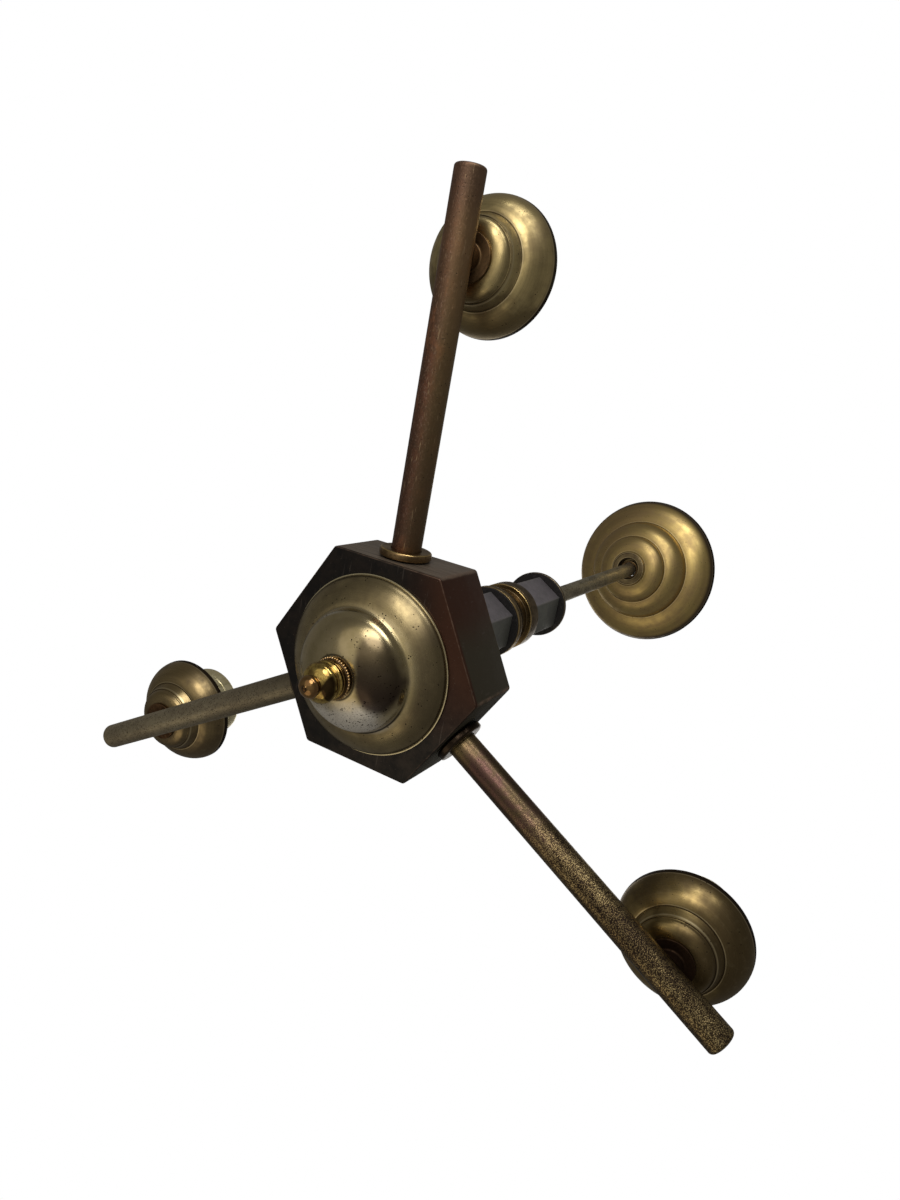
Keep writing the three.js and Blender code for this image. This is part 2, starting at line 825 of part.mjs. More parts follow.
function canopyBush() {
  const flangeHigh = canopyFloorHeight - seatGap;
  const flangeLow = flangeHigh - bushFlangeHeight;
  const outer = bushBore + bushWall;
  const lipLow = -bushLipHeight / 2;
  const lipHigh = bushLipHeight / 2;
  const lipBore = stemRadius + bushLipGap;
  const profile = [
    [bushBore, flangeLow],
    [bushFlangeRadius, flangeLow],
    [bushFlangeRadius, flangeHigh],
    [outer, flangeHigh],
    [outer, lipHigh],
    [lipBore, lipHigh],
    [lipBore, lipLow],
    [bushBore, lipLow],
  ];
  return turned(profile, medium);
}

// The clamp ring's top is a cone as steep as the lean, so the leaning bush beds on it.
function clampRing() {
  const bore = stemRadius + boreGap;
  const slope = Math.tan(leanAngle * degrees);
  const top = -bushLipHeight / 2 / Math.cos(leanAngle * degrees) - seatGap;
  const low = top - clampRadius * slope - clampHeight;
  const profile = [
    [bore, low],
    [clampRadius, low],
    [clampRadius, top - clampRadius * slope],
    [bore, top - bore * slope],
  ];
  return turned(profile, coarse);
}

function buildCanopy() {
  const group = new THREE.Group();
  group.position.z = pivotHeight;
  group.add(named('clamp_ring', clampRing(), finishes.brownBrass));
  const leaning = new THREE.Group();
  const axis = new THREE.Vector3(
    -Math.sin(leanAzimuth * degrees),
    Math.cos(leanAzimuth * degrees),
    0,
  );
  leaning.quaternion.setFromAxisAngle(axis, leanAngle * degrees);
  const shell = turned(sheet(canopyProfile(), canopyWall), largest);
  leaning.add(named('canopy_shell', shell, finishes.agedBrass));
  leaning.add(named('canopy_bush', canopyBush(), finishes.agedBrass));
  group.add(leaning);
  return group;
}

// Wiring
function around(distance, azimuth, height) {
  return new THREE.Vector3(
    distance * Math.cos(azimuth * degrees),
    distance * Math.sin(azimuth * degrees),
    height,
  );
}

// A place on the terminal block's upper face, offset along the block
function blockPlace(offset, height) {
  const place = around(blockDistance + blockScrewRow, blockAzimuth, height);
  place.x -= offset * Math.sin(blockAzimuth * degrees);
  place.y += offset * Math.cos(blockAzimuth * degrees);
  return place;
}

// From the hanging eye down the stem and out of the window in the central tube
function supplyLead() {
  const high = stemHigh + eyeBossHeight;
  const turn = windowLow + supplyTurn[0][1];
  const blockFace = blockDistance - blockDepth / 2 - seatGap;
  const entry = hubWall + seatGap + blockHeight / 2;
  const points = [];
  for (let i = 0; i < supplyStraights; i += 1) {
    points.push(around(0, 0, high + (turn - high) * (i / supplyStraights)));
  }
  for (const [distance, rise] of supplyTurn) {
    points.push(around(distance, blockAzimuth, windowLow + rise));
  }
  points.push(around(blockFace - leadLift, blockAzimuth, entry));
  points.push(around(blockFace, blockAzimuth, entry));
  return lead(points);
}

// Stands an arm, or a point built in an arm's own frame, in its place.
function placeArm(item, i) {
  const stand = new THREE.Euler(-armTurns[i] * degrees, 0, armAzimuths[i] * degrees, 'ZYX');
  if (item.isVector3) return item.applyEuler(stand).add(new THREE.Vector3(0, 0, armAxisHeight));
  item.rotation.copy(stand);
  item.position.z = armAxisHeight;
  return item;
}

// From the terminal block through the arm and up the nipple to the lampholder
function lampLead(i, loop) {
  const offset = (1 - i) * blockScrewPitch;
  const top = hubWall + seatGap + blockHeight + seatGap;
  const mouth = hubApothem - hubWall - armTail;
  const bend = leadDrop + nippleDepth;
  const inArm = (along, height) => placeArm(new THREE.Vector3(along, 0, height), i);
  const points = [
    blockPlace(offset, top),
    blockPlace(offset, top + leadLift),
    ...loop.map(([distance, angle, height]) => around(distance, angle, height)),
    inArm(mouth, 0),
    inArm(mouth + leadEntry, leadEntryLift - leadDrop),
    inArm(mouth + leadLaid, -leadDrop),
    inArm(cupReach - bend - leadBeforeRise, -leadDrop),
  ];
  for (let step = 0; step <= wideSteps; step += 1) {
    const angle = (step / wideSteps) * Math.PI / 2;
    const along = cupReach - bend + bend * Math.sin(angle);
    points.push(inArm(along, bend * (1 - Math.cos(angle)) - leadDrop));
  }
  points.push(inArm(cupReach, nippleHeight));
  points.push(inArm(cupReach, coreHigh));
  return lead(points);
}

function buildWiring() {
  const wiring = new THREE.Group();
  wiring.add(named('supply_lead', supplyLead(), finishes.insulation));
  lampLoops.forEach((loop, i) => {
    wiring.add(named(`lamp_lead_${i + 1}`, lampLead(i, loop), finishes.insulation));
  });
  return wiring;
}

// The whole lamp, built on the hub's underside and hung from the eye
const lamp = new THREE.Group();
lamp.name = 'three_arm_hanging_lamp';
lamp.position.z = -hookHeight;
lamp.add(buildHub());
lamp.add(buildColumn());
lamp.add(buildCover());
lamp.add(buildCanopy());
lamp.add(buildWiring());
armAzimuths.forEach((_, i) => lamp.add(placeArm(buildArm(i + 1), i)));

export default lamp;
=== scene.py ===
# %% [markdown]
# # A three-armed hanging lamp in Blender
#
# This notebook dresses the engineering model of an old ceiling lamp. A flat hexagonal hub carries three
# arms with brass cups, a spun dome closes it underneath, and a turned column leads up to a thin stem and
# a stepped canopy. The engineering model gives every place and size. What Blender adds is fine edges,
# smooth turned surfaces, threads and beads, and above all the patina that the metal got with the years.

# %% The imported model
import math

import bpy
from mathutils import Matrix, Vector


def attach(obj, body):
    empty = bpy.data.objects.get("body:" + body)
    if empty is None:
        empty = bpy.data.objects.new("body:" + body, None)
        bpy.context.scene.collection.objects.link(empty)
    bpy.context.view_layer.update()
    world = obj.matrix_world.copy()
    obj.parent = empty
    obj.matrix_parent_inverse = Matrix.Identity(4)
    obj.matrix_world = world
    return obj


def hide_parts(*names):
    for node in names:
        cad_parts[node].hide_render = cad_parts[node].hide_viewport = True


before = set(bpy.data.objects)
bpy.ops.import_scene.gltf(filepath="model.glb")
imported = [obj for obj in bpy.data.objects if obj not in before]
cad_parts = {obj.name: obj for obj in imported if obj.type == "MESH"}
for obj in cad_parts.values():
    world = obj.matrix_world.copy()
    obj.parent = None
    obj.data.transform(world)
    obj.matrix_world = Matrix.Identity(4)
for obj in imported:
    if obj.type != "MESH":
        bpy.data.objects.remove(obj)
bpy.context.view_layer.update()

# %% [markdown]
# ## Places to stand pieces on
#
# Nearly every piece is turned on a lathe, so it is easiest to draw it upright in its own frame and to set
# it in place afterwards. A stand is a location in metres and a turn in degrees. The hub's frame starts at
# its underside, an arm's frame runs along X from the lamp's axis, and the canopy leans on its clamp.

# %% Stands for the hub, the arms, the cups and the canopy
MM = 0.001
HUB_FOOT = -537.3
ARM_HEIGHT = 20.3
ARM_REACH = 280.0
CUP_REACH = 236.0
ARM_TURNS = {1: (0.0, 90.0), 2: (0.0, 209.5), 3: (-2.8, 328.4)}
CANOPY_PIVOT = -29.2
CANOPY_LEAN = 9.7
LEAN_AZIMUTH = 229.7


def leaning_turn(angle, azimuth):
    """Euler angles in degrees of an upright thing that leans by an angle towards an azimuth."""
    side = math.radians(azimuth)
    axis = Vector((-math.sin(side), math.cos(side), 0.0))
    turn = Matrix.Rotation(math.radians(angle), 3, axis).to_euler()
    return tuple(math.degrees(a) for a in turn)


stands = {
    "hub": ((0.0, 0.0, HUB_FOOT * MM), (0.0, 0.0, 0.0)),
    "canopy": ((0.0, 0.0, CANOPY_PIVOT * MM), leaning_turn(CANOPY_LEAN, LEAN_AZIMUTH)),
    "stem": ((0.0, 0.0, 0.0), (0.0, 0.0, 0.0)),
}
for k, (roll, azimuth) in ARM_TURNS.items():
    level = (HUB_FOOT + ARM_HEIGHT) * MM
    outward = (math.cos(math.radians(azimuth)), math.sin(math.radians(azimuth)))
    stands[f"arm_{k}"] = ((0.0, 0.0, level), (roll, 0.0, azimuth))
    cup = (CUP_REACH * MM * outward[0], CUP_REACH * MM * outward[1], level)
    stands[f"cup_{k}"] = (cup, (roll, 0.0, azimuth))
print("stands:", ", ".join(stands))

# %% [markdown]
# ## Camera
#
# The photograph was taken from below, a little to one side, with a wide lens. The camera's place, turn
# and focal length come from matching the hub's corners, the dome, the column, the canopy and the arms.

# %% The camera at the photograph's place
CAMERA_PLACE = (-0.2487, 0.1746, -0.9299)
CAMERA_RIGHT = (-0.85089696, 0.17685397, 0.49466861)
CAMERA_UP = (0.28142631, 0.94857068, 0.14495827)
CAMERA_BACK = (-0.44359169, 0.26255732, -0.85690727)
CAMERA_LENS = 24.824
SENSOR_WIDTH = 36.0


def add_camera():
    camera = bpy.data.objects.new("photo_camera", bpy.data.cameras.new("photo_camera"))
    bpy.context.scene.collection.objects.link(camera)
    camera.matrix_world = Matrix([
        (CAMERA_RIGHT[i], CAMERA_UP[i], CAMERA_BACK[i], CAMERA_PLACE[i]) for i in range(3)
    ] + [(0.0, 0.0, 0.0, 1.0)])
    camera.data.lens = CAMERA_LENS
    camera.data.sensor_width = SENSOR_WIDTH
    camera.data.clip_start = 0.01
    bpy.context.scene.camera = camera


add_camera()
print("camera stands at", CAMERA_PLACE)

# %% [markdown]
# ## Outlines for the lathe
#
# A spun or turned piece is one outline of radius and height, in millimetres, swept round an axis. Sharp
# corners never look real, so `eased` rounds them. `swell` is the quarter ellipse that a spinner's roller
# leaves between two steps, and `sheet` gives an open line the thickness of sheet brass.

# %% Outline helpers
def swell(start, end, steps, slope=0.0):
    """Points of a quarter ellipse between two points, drawn towards a straight line by the slope's share."""
    points = []
    for i in range(steps + 1):
        angle = i / steps * math.pi / 2
        along, up = math.sin(angle), 1 - math.cos(angle)
        up += (along - up) * slope
        points.append((start[0] + (end[0] - start[0]) * along, start[1] + (end[1] - start[1]) * up))
    return points


def eased(corners, steps=4):
    """A closed outline from corners (radius, height, ease), each rounded over the length of its ease."""
    points = []
    for i, (x, y, ease) in enumerate(corners):
        if not ease:
            points.append((x, y))
            continue
        ends = []
        for near in (corners[i - 1], corners[(i + 1) % len(corners)]):
            reach = math.hypot(near[0] - x, near[1] - y)
            ends.append((x + (near[0] - x) * ease / reach, y + (near[1] - y) * ease / reach))
        for j in range(steps + 1):
            t = j / steps
            points.append(tuple((1 - t) ** 2 * a + 2 * t * (1 - t) * b + t * t * c
                                for a, b, c in zip(ends[0], (x, y), ends[1])))
    return points


def sheet(line, wall):
    """Closes an open line into an outline of the wall's thickness, laid to the line's left."""
    inner = []
    for i, (x, y) in enumerate(line):
        before, after = line[max(i - 1, 0)], line[min(i + 1, len(line) - 1)]
        dx, dy = after[0] - before[0], after[1] - before[1]
        length = math.hypot(dx, dy)
        inner.append((x - dy / length * wall, y + dx / length * wall))
    return line + inner[::-1]


print("a swell of four steps:", [(round(a, 1), round(b, 1)) for a, b in swell((0, 0), (10, 5), 4)])

# %% [markdown]
# ## The lathe
#
# Blender's Spin operator is the lathe. It starts from one point, which is extruded along the outline and
# then spun round Z. The seam is merged and the normals are made to point outwards, and edges sharper than
# 30 degrees stay crisp when the rest is shaded smooth.

# %% Turning a piece on the lathe
def deselect_all():
    for item in bpy.context.selected_objects:
        item.select_set(False)


def take(piece):
    """Makes a piece the only selected and the active object."""
    deselect_all()
    piece.select_set(True)
    bpy.context.view_layer.objects.active = piece


def finish_shape(piece, name, angle=30.0):
    piece.name = name
    piece.data.name = name
    take(piece)
    bpy.ops.object.shade_smooth_by_angle(angle=math.radians(angle))
    return piece


def settle(piece, place=(0, 0, 0), turn=(0, 0, 0)):
    """Moves and turns a piece and applies both, so its object stays at the origin."""
    take(piece)
    piece.location = place
    piece.rotation_euler = [math.radians(a) for a in turn]
    bpy.ops.object.transform_apply(location=True, rotation=True, scale=True)
    return piece


def turned(name, outline, steps=96, closed=True, lying=False):
    """Spins an outline in millimetres about Z. A lying piece then has its axis along X."""
    path = [(r * MM, h * MM) for r, h in outline]
    if closed:
        path.append(path[0])
    deselect_all()
    bpy.ops.mesh.primitive_plane_add(size=MM, location=(0, 0, 0))
    bpy.ops.object.mode_set(mode="EDIT")
    bpy.ops.mesh.select_mode(type="VERT")
    bpy.ops.mesh.merge(type="CENTER")
    bpy.ops.transform.translate(value=(path[0][0], 0.0, path[0][1]))
    for (r0, h0), (r1, h1) in zip(path, path[1:]):
        bpy.ops.mesh.extrude_region_move(
            TRANSFORM_OT_translate={"value": (r1 - r0, 0.0, h1 - h0)})
    bpy.ops.mesh.select_all(action="SELECT")
    bpy.ops.mesh.spin(steps=steps, angle=math.tau, center=(0, 0, 0), axis=(0, 0, 1))
    bpy.ops.mesh.select_all(action="SELECT")
    bpy.ops.mesh.remove_doubles(threshold=0.002 * MM)
    bpy.ops.mesh.dissolve_degenerate(threshold=0.002 * MM)
    bpy.ops.mesh.select_all(action="SELECT")
    bpy.ops.mesh.normals_make_consistent(inside=False)
    bpy.ops.object.mode_set(mode="OBJECT")
    piece = bpy.context.object
    if lying:
        settle(piece, turn=(0, 90, 0))
    return finish_shape(piece, name)


def on_hub(name, outline, steps=128):
    """A turned piece, set on the hub's stand."""
    return settle(turned(name, outline, steps), *stands["hub"])


def copy_on(piece, stand, name):
    """A copy of a piece, with its own mesh, set on a stand."""
    copy = piece.copy()
    copy.data = piece.data.copy()
    bpy.context.scene.collection.objects.link(copy)
    settle(copy, *stands[stand])
    copy.name = name
    copy.data.name = name
    return copy


def three_of(piece, frame_name, name):
    """Copies a piece to all three arms and takes the first one away."""
    copies = {k: copy_on(piece, f"{frame_name}_{k}", f"{name}_{k}") for k in ARM_TURNS}
    bpy.data.objects.remove(piece)
    print(name, "x 3,", len(copies[1].data.polygons), "faces each")
    return copies


# %% [markdown]
# ## Blocks and cuts
#
# The hub and the column's bars are hexagonal. They start as six-sided cylinders, whose edges are picked
# by their direction and bevelled. Bores and hollows are cut by a boolean modifier that is then applied.

# %% Six-sided blocks, edge bevels and boolean cuts
def bevel_edges(piece, offset, segments, test):
    """Bevels the edges whose two ends pass a test."""
    take(piece)
    bpy.ops.object.mode_set(mode="EDIT")
    bpy.ops.mesh.select_mode(type="EDGE")
    bpy.ops.mesh.select_all(action="DESELECT")
    bpy.ops.object.mode_set(mode="OBJECT")
    points = piece.data.vertices
    for edge in piece.data.edges:
        a, b = (points[i].co for i in edge.vertices)
        edge.select = test(a, b)
    bpy.ops.object.mode_set(mode="EDIT")
    bpy.ops.mesh.bevel(offset=offset * MM, segments=segments, affect="EDGES")
    bpy.ops.object.mode_set(mode="OBJECT")


def is_upright(a, b):
    return abs(a.z - b.z) > MM and math.hypot(a.x - b.x, a.y - b.y) < 0.01 * MM


def is_level(a, b):
    return abs(a.z - b.z) < 0.01 * MM


def hex_block(corner, low, high, turn):
    """A six-sided block between two heights, with its first corner turned away from +Y."""
    deselect_all()
    bpy.ops.mesh.primitive_cylinder_add(
        vertices=6, radius=corner * MM, depth=(high - low) * MM,
        location=(0, 0, (low + high) / 2 * MM), rotation=(0, 0, math.radians(turn)))
    bpy.ops.object.transform_apply(location=True, rotation=True, scale=True)
    return bpy.context.object


def rod(radius, low, high, vertices=96):
    deselect_all()
    bpy.ops.mesh.primitive_cylinder_add(
        vertices=vertices, radius=radius * MM, depth=(high - low) * MM,
        location=(0, 0, (low + high) / 2 * MM))
    bpy.ops.object.transform_apply(location=True, rotation=True, scale=True)
    return bpy.context.object


def carve(piece, *cutters):
    """Cuts the cutters out of a piece and takes them away."""
    for cutter in cutters:
        take(piece)
        cut = piece.modifiers.new("cut", "BOOLEAN")
        cut.operation = "DIFFERENCE"
        cut.solver = "EXACT"
        cut.object = cutter
        bpy.ops.object.modifier_apply(modifier=cut.name)
        bpy.data.objects.remove(cutter)
    return piece


# %% [markdown]
# ## Hub
#
# The hub is a hollow box of cast brass with six sides. Its upright corners are rounded by two and a half
# millimetres and the rims by one, and it is cut out for the wiring, the mouth that the dome covers, the
# central tube and the three arms.

# %% The hub
HUB_CORNER = 74.1
HUB_HEIGHT = 43.9
HUB_WALL = 3.0
CORNER_BEVEL = 1.44
RIM_BEVEL = 1.0
HUB_APOTHEM = HUB_CORNER * math.cos(math.pi / 6)
TUBE_BORE = 5.3
MOUTH_RADIUS = 44.0
ARM_HOLE = 9.3


def model_hub():
    hub = hex_block(HUB_CORNER, 0, HUB_HEIGHT, 30)
    bevel_edges(hub, CORNER_BEVEL, 5, is_upright)
    bevel_edges(hub, RIM_BEVEL, 4, is_level)
    room = hex_block(HUB_CORNER - HUB_WALL / math.cos(math.pi / 6), HUB_WALL,
                     HUB_HEIGHT - HUB_WALL, 30)
    mouth = rod(MOUTH_RADIUS, -1, HUB_WALL + 1, 160)
    bore = rod(TUBE_BORE, HUB_HEIGHT - HUB_WALL - 1, HUB_HEIGHT + 1)
    holes = []
    for roll, azimuth in ARM_TURNS.values():
        hole = rod(ARM_HOLE, HUB_APOTHEM - HUB_WALL - 1, HUB_APOTHEM + 1)
        settle(hole, turn=(0, 90, 0))
        holes.append(settle(hole, (0, 0, ARM_HEIGHT * MM), (0, 0, azimuth)))
    carve(hub, room, mouth, bore, *holes)
    finish_shape(hub, "hub_box")
    return settle(hub, *stands["hub"])


hub_box = model_hub()
print("hub:", len(hub_box.data.polygons), "faces")

# %% [markdown]
# ## Arms
#
# An arm is a plain tube, closed by a slightly domed plug, with a ring where it enters the hub. Each piece
# is made once, lying along X, and copied to the three arms.

# %% Tube, plug and collar of an arm
ARM_RADIUS = 9.0
ARM_BORE = 7.0
PLUG_FLANGE = 3.0
PLUG_EASE = 1.9
COLLAR_RADIUS = 15.7
COLLAR_DEPTH = 4.8
COLLAR_GAP = 0.75
tube_end = ARM_REACH - PLUG_FLANGE - 0.03
tube_start = HUB_APOTHEM - HUB_WALL - 7
arm_tube = turned("arm_tube", eased([
    (ARM_BORE, tube_start, 0.3), (ARM_RADIUS, tube_start, 0.4),
    (ARM_RADIUS, tube_end, 0), (ARM_BORE, tube_end, 0.2),
], 3), 72, lying=True)
lead_hole = settle(rod(TUBE_BORE, 0, ARM_RADIUS + 1, 48), (CUP_REACH * MM, 0, 0))
finish_shape(carve(arm_tube, lead_hole), "arm_tube")
arm_tubes = three_of(arm_tube, "arm", "arm_tube_metal")

plug_low = ARM_REACH - PLUG_FLANGE
plug_line = [(0, plug_low - 8), (6.7, plug_low - 8), (6.7, plug_low), (ARM_RADIUS, plug_low)]
for i in range(7):
    angle = i / 6 * math.pi / 2
    plug_line.append((ARM_RADIUS - PLUG_EASE * (1 - math.cos(angle)),
                      ARM_REACH - 0.35 - PLUG_EASE * (1 - math.sin(angle))))
plug_line += [(3.6, ARM_REACH - 0.1), (0, ARM_REACH)]
arm_plug = turned("arm_plug", plug_line, 72, closed=False, lying=True)
arm_plugs = three_of(arm_plug, "arm", "arm_plug_metal")

collar_low = HUB_APOTHEM + COLLAR_GAP
arm_collars = three_of(turned("arm_collar", eased([
    (ARM_HOLE, collar_low, 0.3), (COLLAR_RADIUS, collar_low, 1.4),
    (COLLAR_RADIUS, collar_low + COLLAR_DEPTH, 1.9), (ARM_HOLE, collar_low + COLLAR_DEPTH, 0.4),
], 6), 96, lying=True), "arm", "arm_collar_metal")

# %% [markdown]
# ## Cups
#
# Each cup is spun from thin sheet brass in three steps: a round bead at the foot, a straight band and
# a bell. The sharp ledges between them catch the light, so they are drawn with small eases instead of
# being left to the shading. A saddle under the cup fits the round of the arm.

# %% Cup and saddle
CUP_FLOOR = 14.0
SHEET_BRASS = 1.0


def cup_line():
    line = [(TUBE_BORE, CUP_FLOOR), (14.0, CUP_FLOOR)]
    line += swell((14.6, CUP_FLOOR), (23.0, 19.0), 12)
    line += [(23.25, 19.35), (23.65, 19.45), (23.9, 19.6)]
    line += [(25.15, 22.5), (26.4, 25.4)]
    line += [(26.55, 25.68), (26.95, 25.78), (27.3, 25.86)]
    line += swell((27.6, 25.9), (40.6, 43.35), 20, 0.2)
    line += [(40.6, 43.75)]
    return line


bell_cups = three_of(turned("bell_cup", sheet(cup_line(), SHEET_BRASS), 128), "cup", "bell_cup_brass")


def model_saddle():
    saddle = turned("cup_saddle", eased([
        (TUBE_BORE, 0, 0), (8.0, 0, 0), (8.0, 12.2, 1.2), (14.2, 12.2, 0.4),
        (14.2, 13.7, 0.4), (TUBE_BORE, 13.7, 0),
    ], 4), 72)
    tube = settle(rod(ARM_HOLE, -16, 16, 96), turn=(0, 90, 0))
    return finish_shape(carve(saddle, tube), "cup_saddle")


cup_saddles = three_of(model_saddle(), "cup", "cup_saddle_brass")

# %% [markdown]
# ## Lampholders
#
# A lampholder is a cap, a porcelain core and a threaded sleeve with a ring that clamps a shade. Threads
# are helical, so after the lathe every point of a threaded wall is moved in or out by its height and its
# angle together.

# %% Lampholder pieces
def cut_thread(piece, radius, low, high, pitch, depth, outer):
    """Cuts a helical wave into the round wall of a radius: inwards if it is outer, else outwards."""
    for point in piece.data.vertices:
        x, y, z = point.co / MM
        r = math.hypot(x, y)
        on_wall = abs(r - radius) < 0.05 and low <= z <= high
        if not on_wall:
            continue
        wave = 0.5 - 0.5 * math.cos(math.tau * (z / pitch - math.atan2(y, x) / math.tau))
        fade = min(1.0, (z - low) / pitch, (high - z) / pitch)
        r_new = r + (-depth if outer else depth) * wave * fade
        point.co.x *= r_new / r
        point.co.y *= r_new / r


def wall_steps(radius, low, high, step):
    count = round((high - low) / step)
    return [(radius, low + (high - low) * i / count) for i in range(count + 1)]


CAP_LOW, CAP_TOP = 15.3, 31.3
SLEEVE_LOW, SLEEVE_TOP = 37.6, 72.0
SLEEVE_RADIUS, SLEEVE_BORE = 21.5, 13.6
RING_LOW, RING_TOP = 56.4, 71.4
RING_BORE, RING_RADIUS = 21.8, 27.0
cap_line = [(TUBE_BORE, CAP_LOW), (11.6, CAP_LOW)] + swell((12.0, CAP_LOW), (21.5, 25.3), 12)
cap_line += [(21.5, 29.2), (21.75, 29.5), (21.75, 30.2), (21.5, 30.5), (21.5, CAP_TOP)]
holder_caps = three_of(turned("holder_cap", sheet(cap_line, SHEET_BRASS), 96), "cup", "holder_cap_brass")

holder_cores = three_of(turned("holder_core", eased([
    (3.4, 25.3, 0.4), (20.2, 25.3, 0.6), (20.2, 37.3, 0.8), (14.5, 37.3, 0.4), (14.2, 36.4, 0.4),
    (9.0, 36.4, 0.4), (8.6, 37.3, 0.4), (4.5, 37.3, 0.3), (4.5, 40.3, 0.5), (3.4, 40.3, 0.3),
], 3), 64), "cup", "holder_core_porcelain")

sleeve_outline = [(SLEEVE_BORE, 37.9), (13.9, SLEEVE_LOW), (22.0, SLEEVE_LOW), (22.3, 37.9), (22.3, 40.0),
                  (22.0, 40.3), (22.0, 41.0), (22.3, 41.3), (22.3, 55.6), (21.8, 56.1)]
sleeve_outline += wall_steps(SLEEVE_RADIUS, 56.3, 70.2, 0.35)
sleeve_outline += [(21.3, 70.9), (20.8, 71.6), (20.1, 71.95), (19.0, SLEEVE_TOP), (14.4, SLEEVE_TOP),
                   (13.8, 71.7)]
sleeve_outline += wall_steps(SLEEVE_BORE, 41.0, 71.2, 0.6)[::-1]
sleeve = turned("holder_sleeve", sleeve_outline, 96)
cut_thread(sleeve, SLEEVE_RADIUS, 56.6, 70.2, pitch=2.0, depth=0.55, outer=True)
cut_thread(sleeve, SLEEVE_BORE, 42.0, 71.0, pitch=3.6, depth=0.7, outer=False)
holder_sleeves = three_of(finish_shape(sleeve, "holder_sleeve", 50), "cup", "holder_sleeve_brass")


def model_ring():
    """The ring that clamps the shade, with a grooved foot and a round shoulder."""
    ring = turned("shade_ring", eased([
        (RING_BORE, RING_LOW, 0.3), (RING_RADIUS, RING_LOW, 0.5), (RING_RADIUS, 60.2, 0.3),
        (26.5, 60.5, 0.2), (26.5, 60.9, 0.2), (RING_RADIUS, 61.2, 0.3),
        (RING_RADIUS, RING_TOP, 3.6), (RING_BORE, RING_TOP, 0.4),
    ], 6), 160)
    return finish_shape(ring, "shade_ring", 40)


shade_rings = three_of(model_ring(), "cup", "shade_ring_brass")

# %% [markdown]
# ## Dome, bead ring and finial
#
# The dome under the hub is spun in two tiers with a crease between them and a flat lip. Below it sit a
# ring of small beads and the finial, a turned nut with a flange, a ball and a tip.

# %% Dome
DOME_LOW = -34.2


def dome_line():
    line = [(TUBE_BORE, DOME_LOW + 0.03)]
    line += [point for point in swell((0.0, DOME_LOW), (36.9, -14.4), 40) if 6.0 < point[0] < 36.1]
    line += [(36.45, -16.6), (36.8, -15.6), (37.3, -14.8), (38.1, -14.2), (39.1, -13.8)]
    line += swell((37.9, -14.0), (54.2, -1.75), 24, 0.45)[3:]
    line += [(54.3, -1.5), (54.5, -1.35), (55.1, -1.3)]
    return line


dome = on_hub("cover_dome", sheet(dome_line(), SHEET_BRASS), 160)
print("dome:", len(dome.data.polygons), "faces")

# %% Bead ring
BEAD_COUNT = 44
BEAD_RADIUS = 0.86
BEAD_CIRCLE = 11.8
BEAD_HEIGHT = -35.8


def model_bead_ring():
    ring = turned("bead_core", eased([
        (TUBE_BORE, -37.1, 0.2), (11.6, -37.1, 0.3), (11.9, -36.6, 0.2), (11.9, -35.0, 0.2),
        (11.6, -34.5, 0.3), (TUBE_BORE, -34.5, 0.2),
    ], 3), 96)
    for i in range(BEAD_COUNT):
        angle = i / BEAD_COUNT * math.tau
        bpy.ops.mesh.primitive_uv_sphere_add(
            segments=12, ring_count=8, radius=BEAD_RADIUS * MM,
            location=(BEAD_CIRCLE * MM * math.cos(angle), BEAD_CIRCLE * MM * math.sin(angle),
                      BEAD_HEIGHT * MM))
        bead = bpy.context.object
        take(bead)
        bpy.ops.object.transform_apply(location=True, rotation=True, scale=True)
        ring.select_set(True)
        bpy.context.view_layer.objects.active = ring
        bpy.ops.object.join()
    finish_shape(ring, "cover_bead_ring", 40)
    return settle(ring, *stands["hub"])


bead_ring = model_bead_ring()
print("bead ring:", len(bead_ring.data.polygons), "faces")


# %% Finial
def finial_outline():
    head = eased([(0, -37.4, 0), (11.5, -37.4, 0.6), (11.5, -39.2, 0.6), (9.9, -39.5, 0.3)], 4)
    neck = [(9.6, -39.9), (9.5, -40.3), (9.7, -40.7)]
    flange = [(10.5, -40.85), (11.3, -40.95), (11.6, -41.3), (11.4, -41.7), (10.9, -42.0)]
    ball = []
    for i in range(21):
        angle = math.radians(58 + i / 20 * 92)
        ball.append((11.8 * math.sin(angle), -46.2 + 6.4 * math.cos(angle)))
    waist = [(5.5, -52.0), (5.35, -52.3), (5.5, -52.6)]
    tip = []
    for i in range(16):
        angle = math.radians(50 + i / 15 * 112)
        tip.append((6.5 * math.sin(angle), -55.6 + 4.3 * math.cos(angle)))
    end = [(1.6, -59.95), (1.4, -60.3), (0.8, -60.6), (0, -60.7)]
    return head + neck + flange + ball + waist + tip + end


finial = turned("finial_nut", finial_outline(), 96, closed=False)
carve(finial, rod(TUBE_BORE, -51.4, -36, 48))
finial = settle(finish_shape(finial, "finial_nut"), *stands["hub"])
print("finial:", len(finial.data.polygons), "faces")

# %% [markdown]
# ## Column
#
# Spools, hexagonal bars and black fibre washers are threaded on the central tube. Their edges are the
# brightest lines of the column, so each has its own small chamfer or ease.

# %% Column
DISC_RADIUS = 27.0
WASHER_RADIUS = 26.6
WASHER_DEPTH = 1.5
HEX_CORNER = 24.3
HEX_LENGTH = 49.5
HEX_FEET = {"lower_hex_bar": 101.3, "upper_hex_bar": 191.7}
WASHER_FEET = {"lower_fibre_washer": 151.1, "upper_fibre_washer": 241.5}


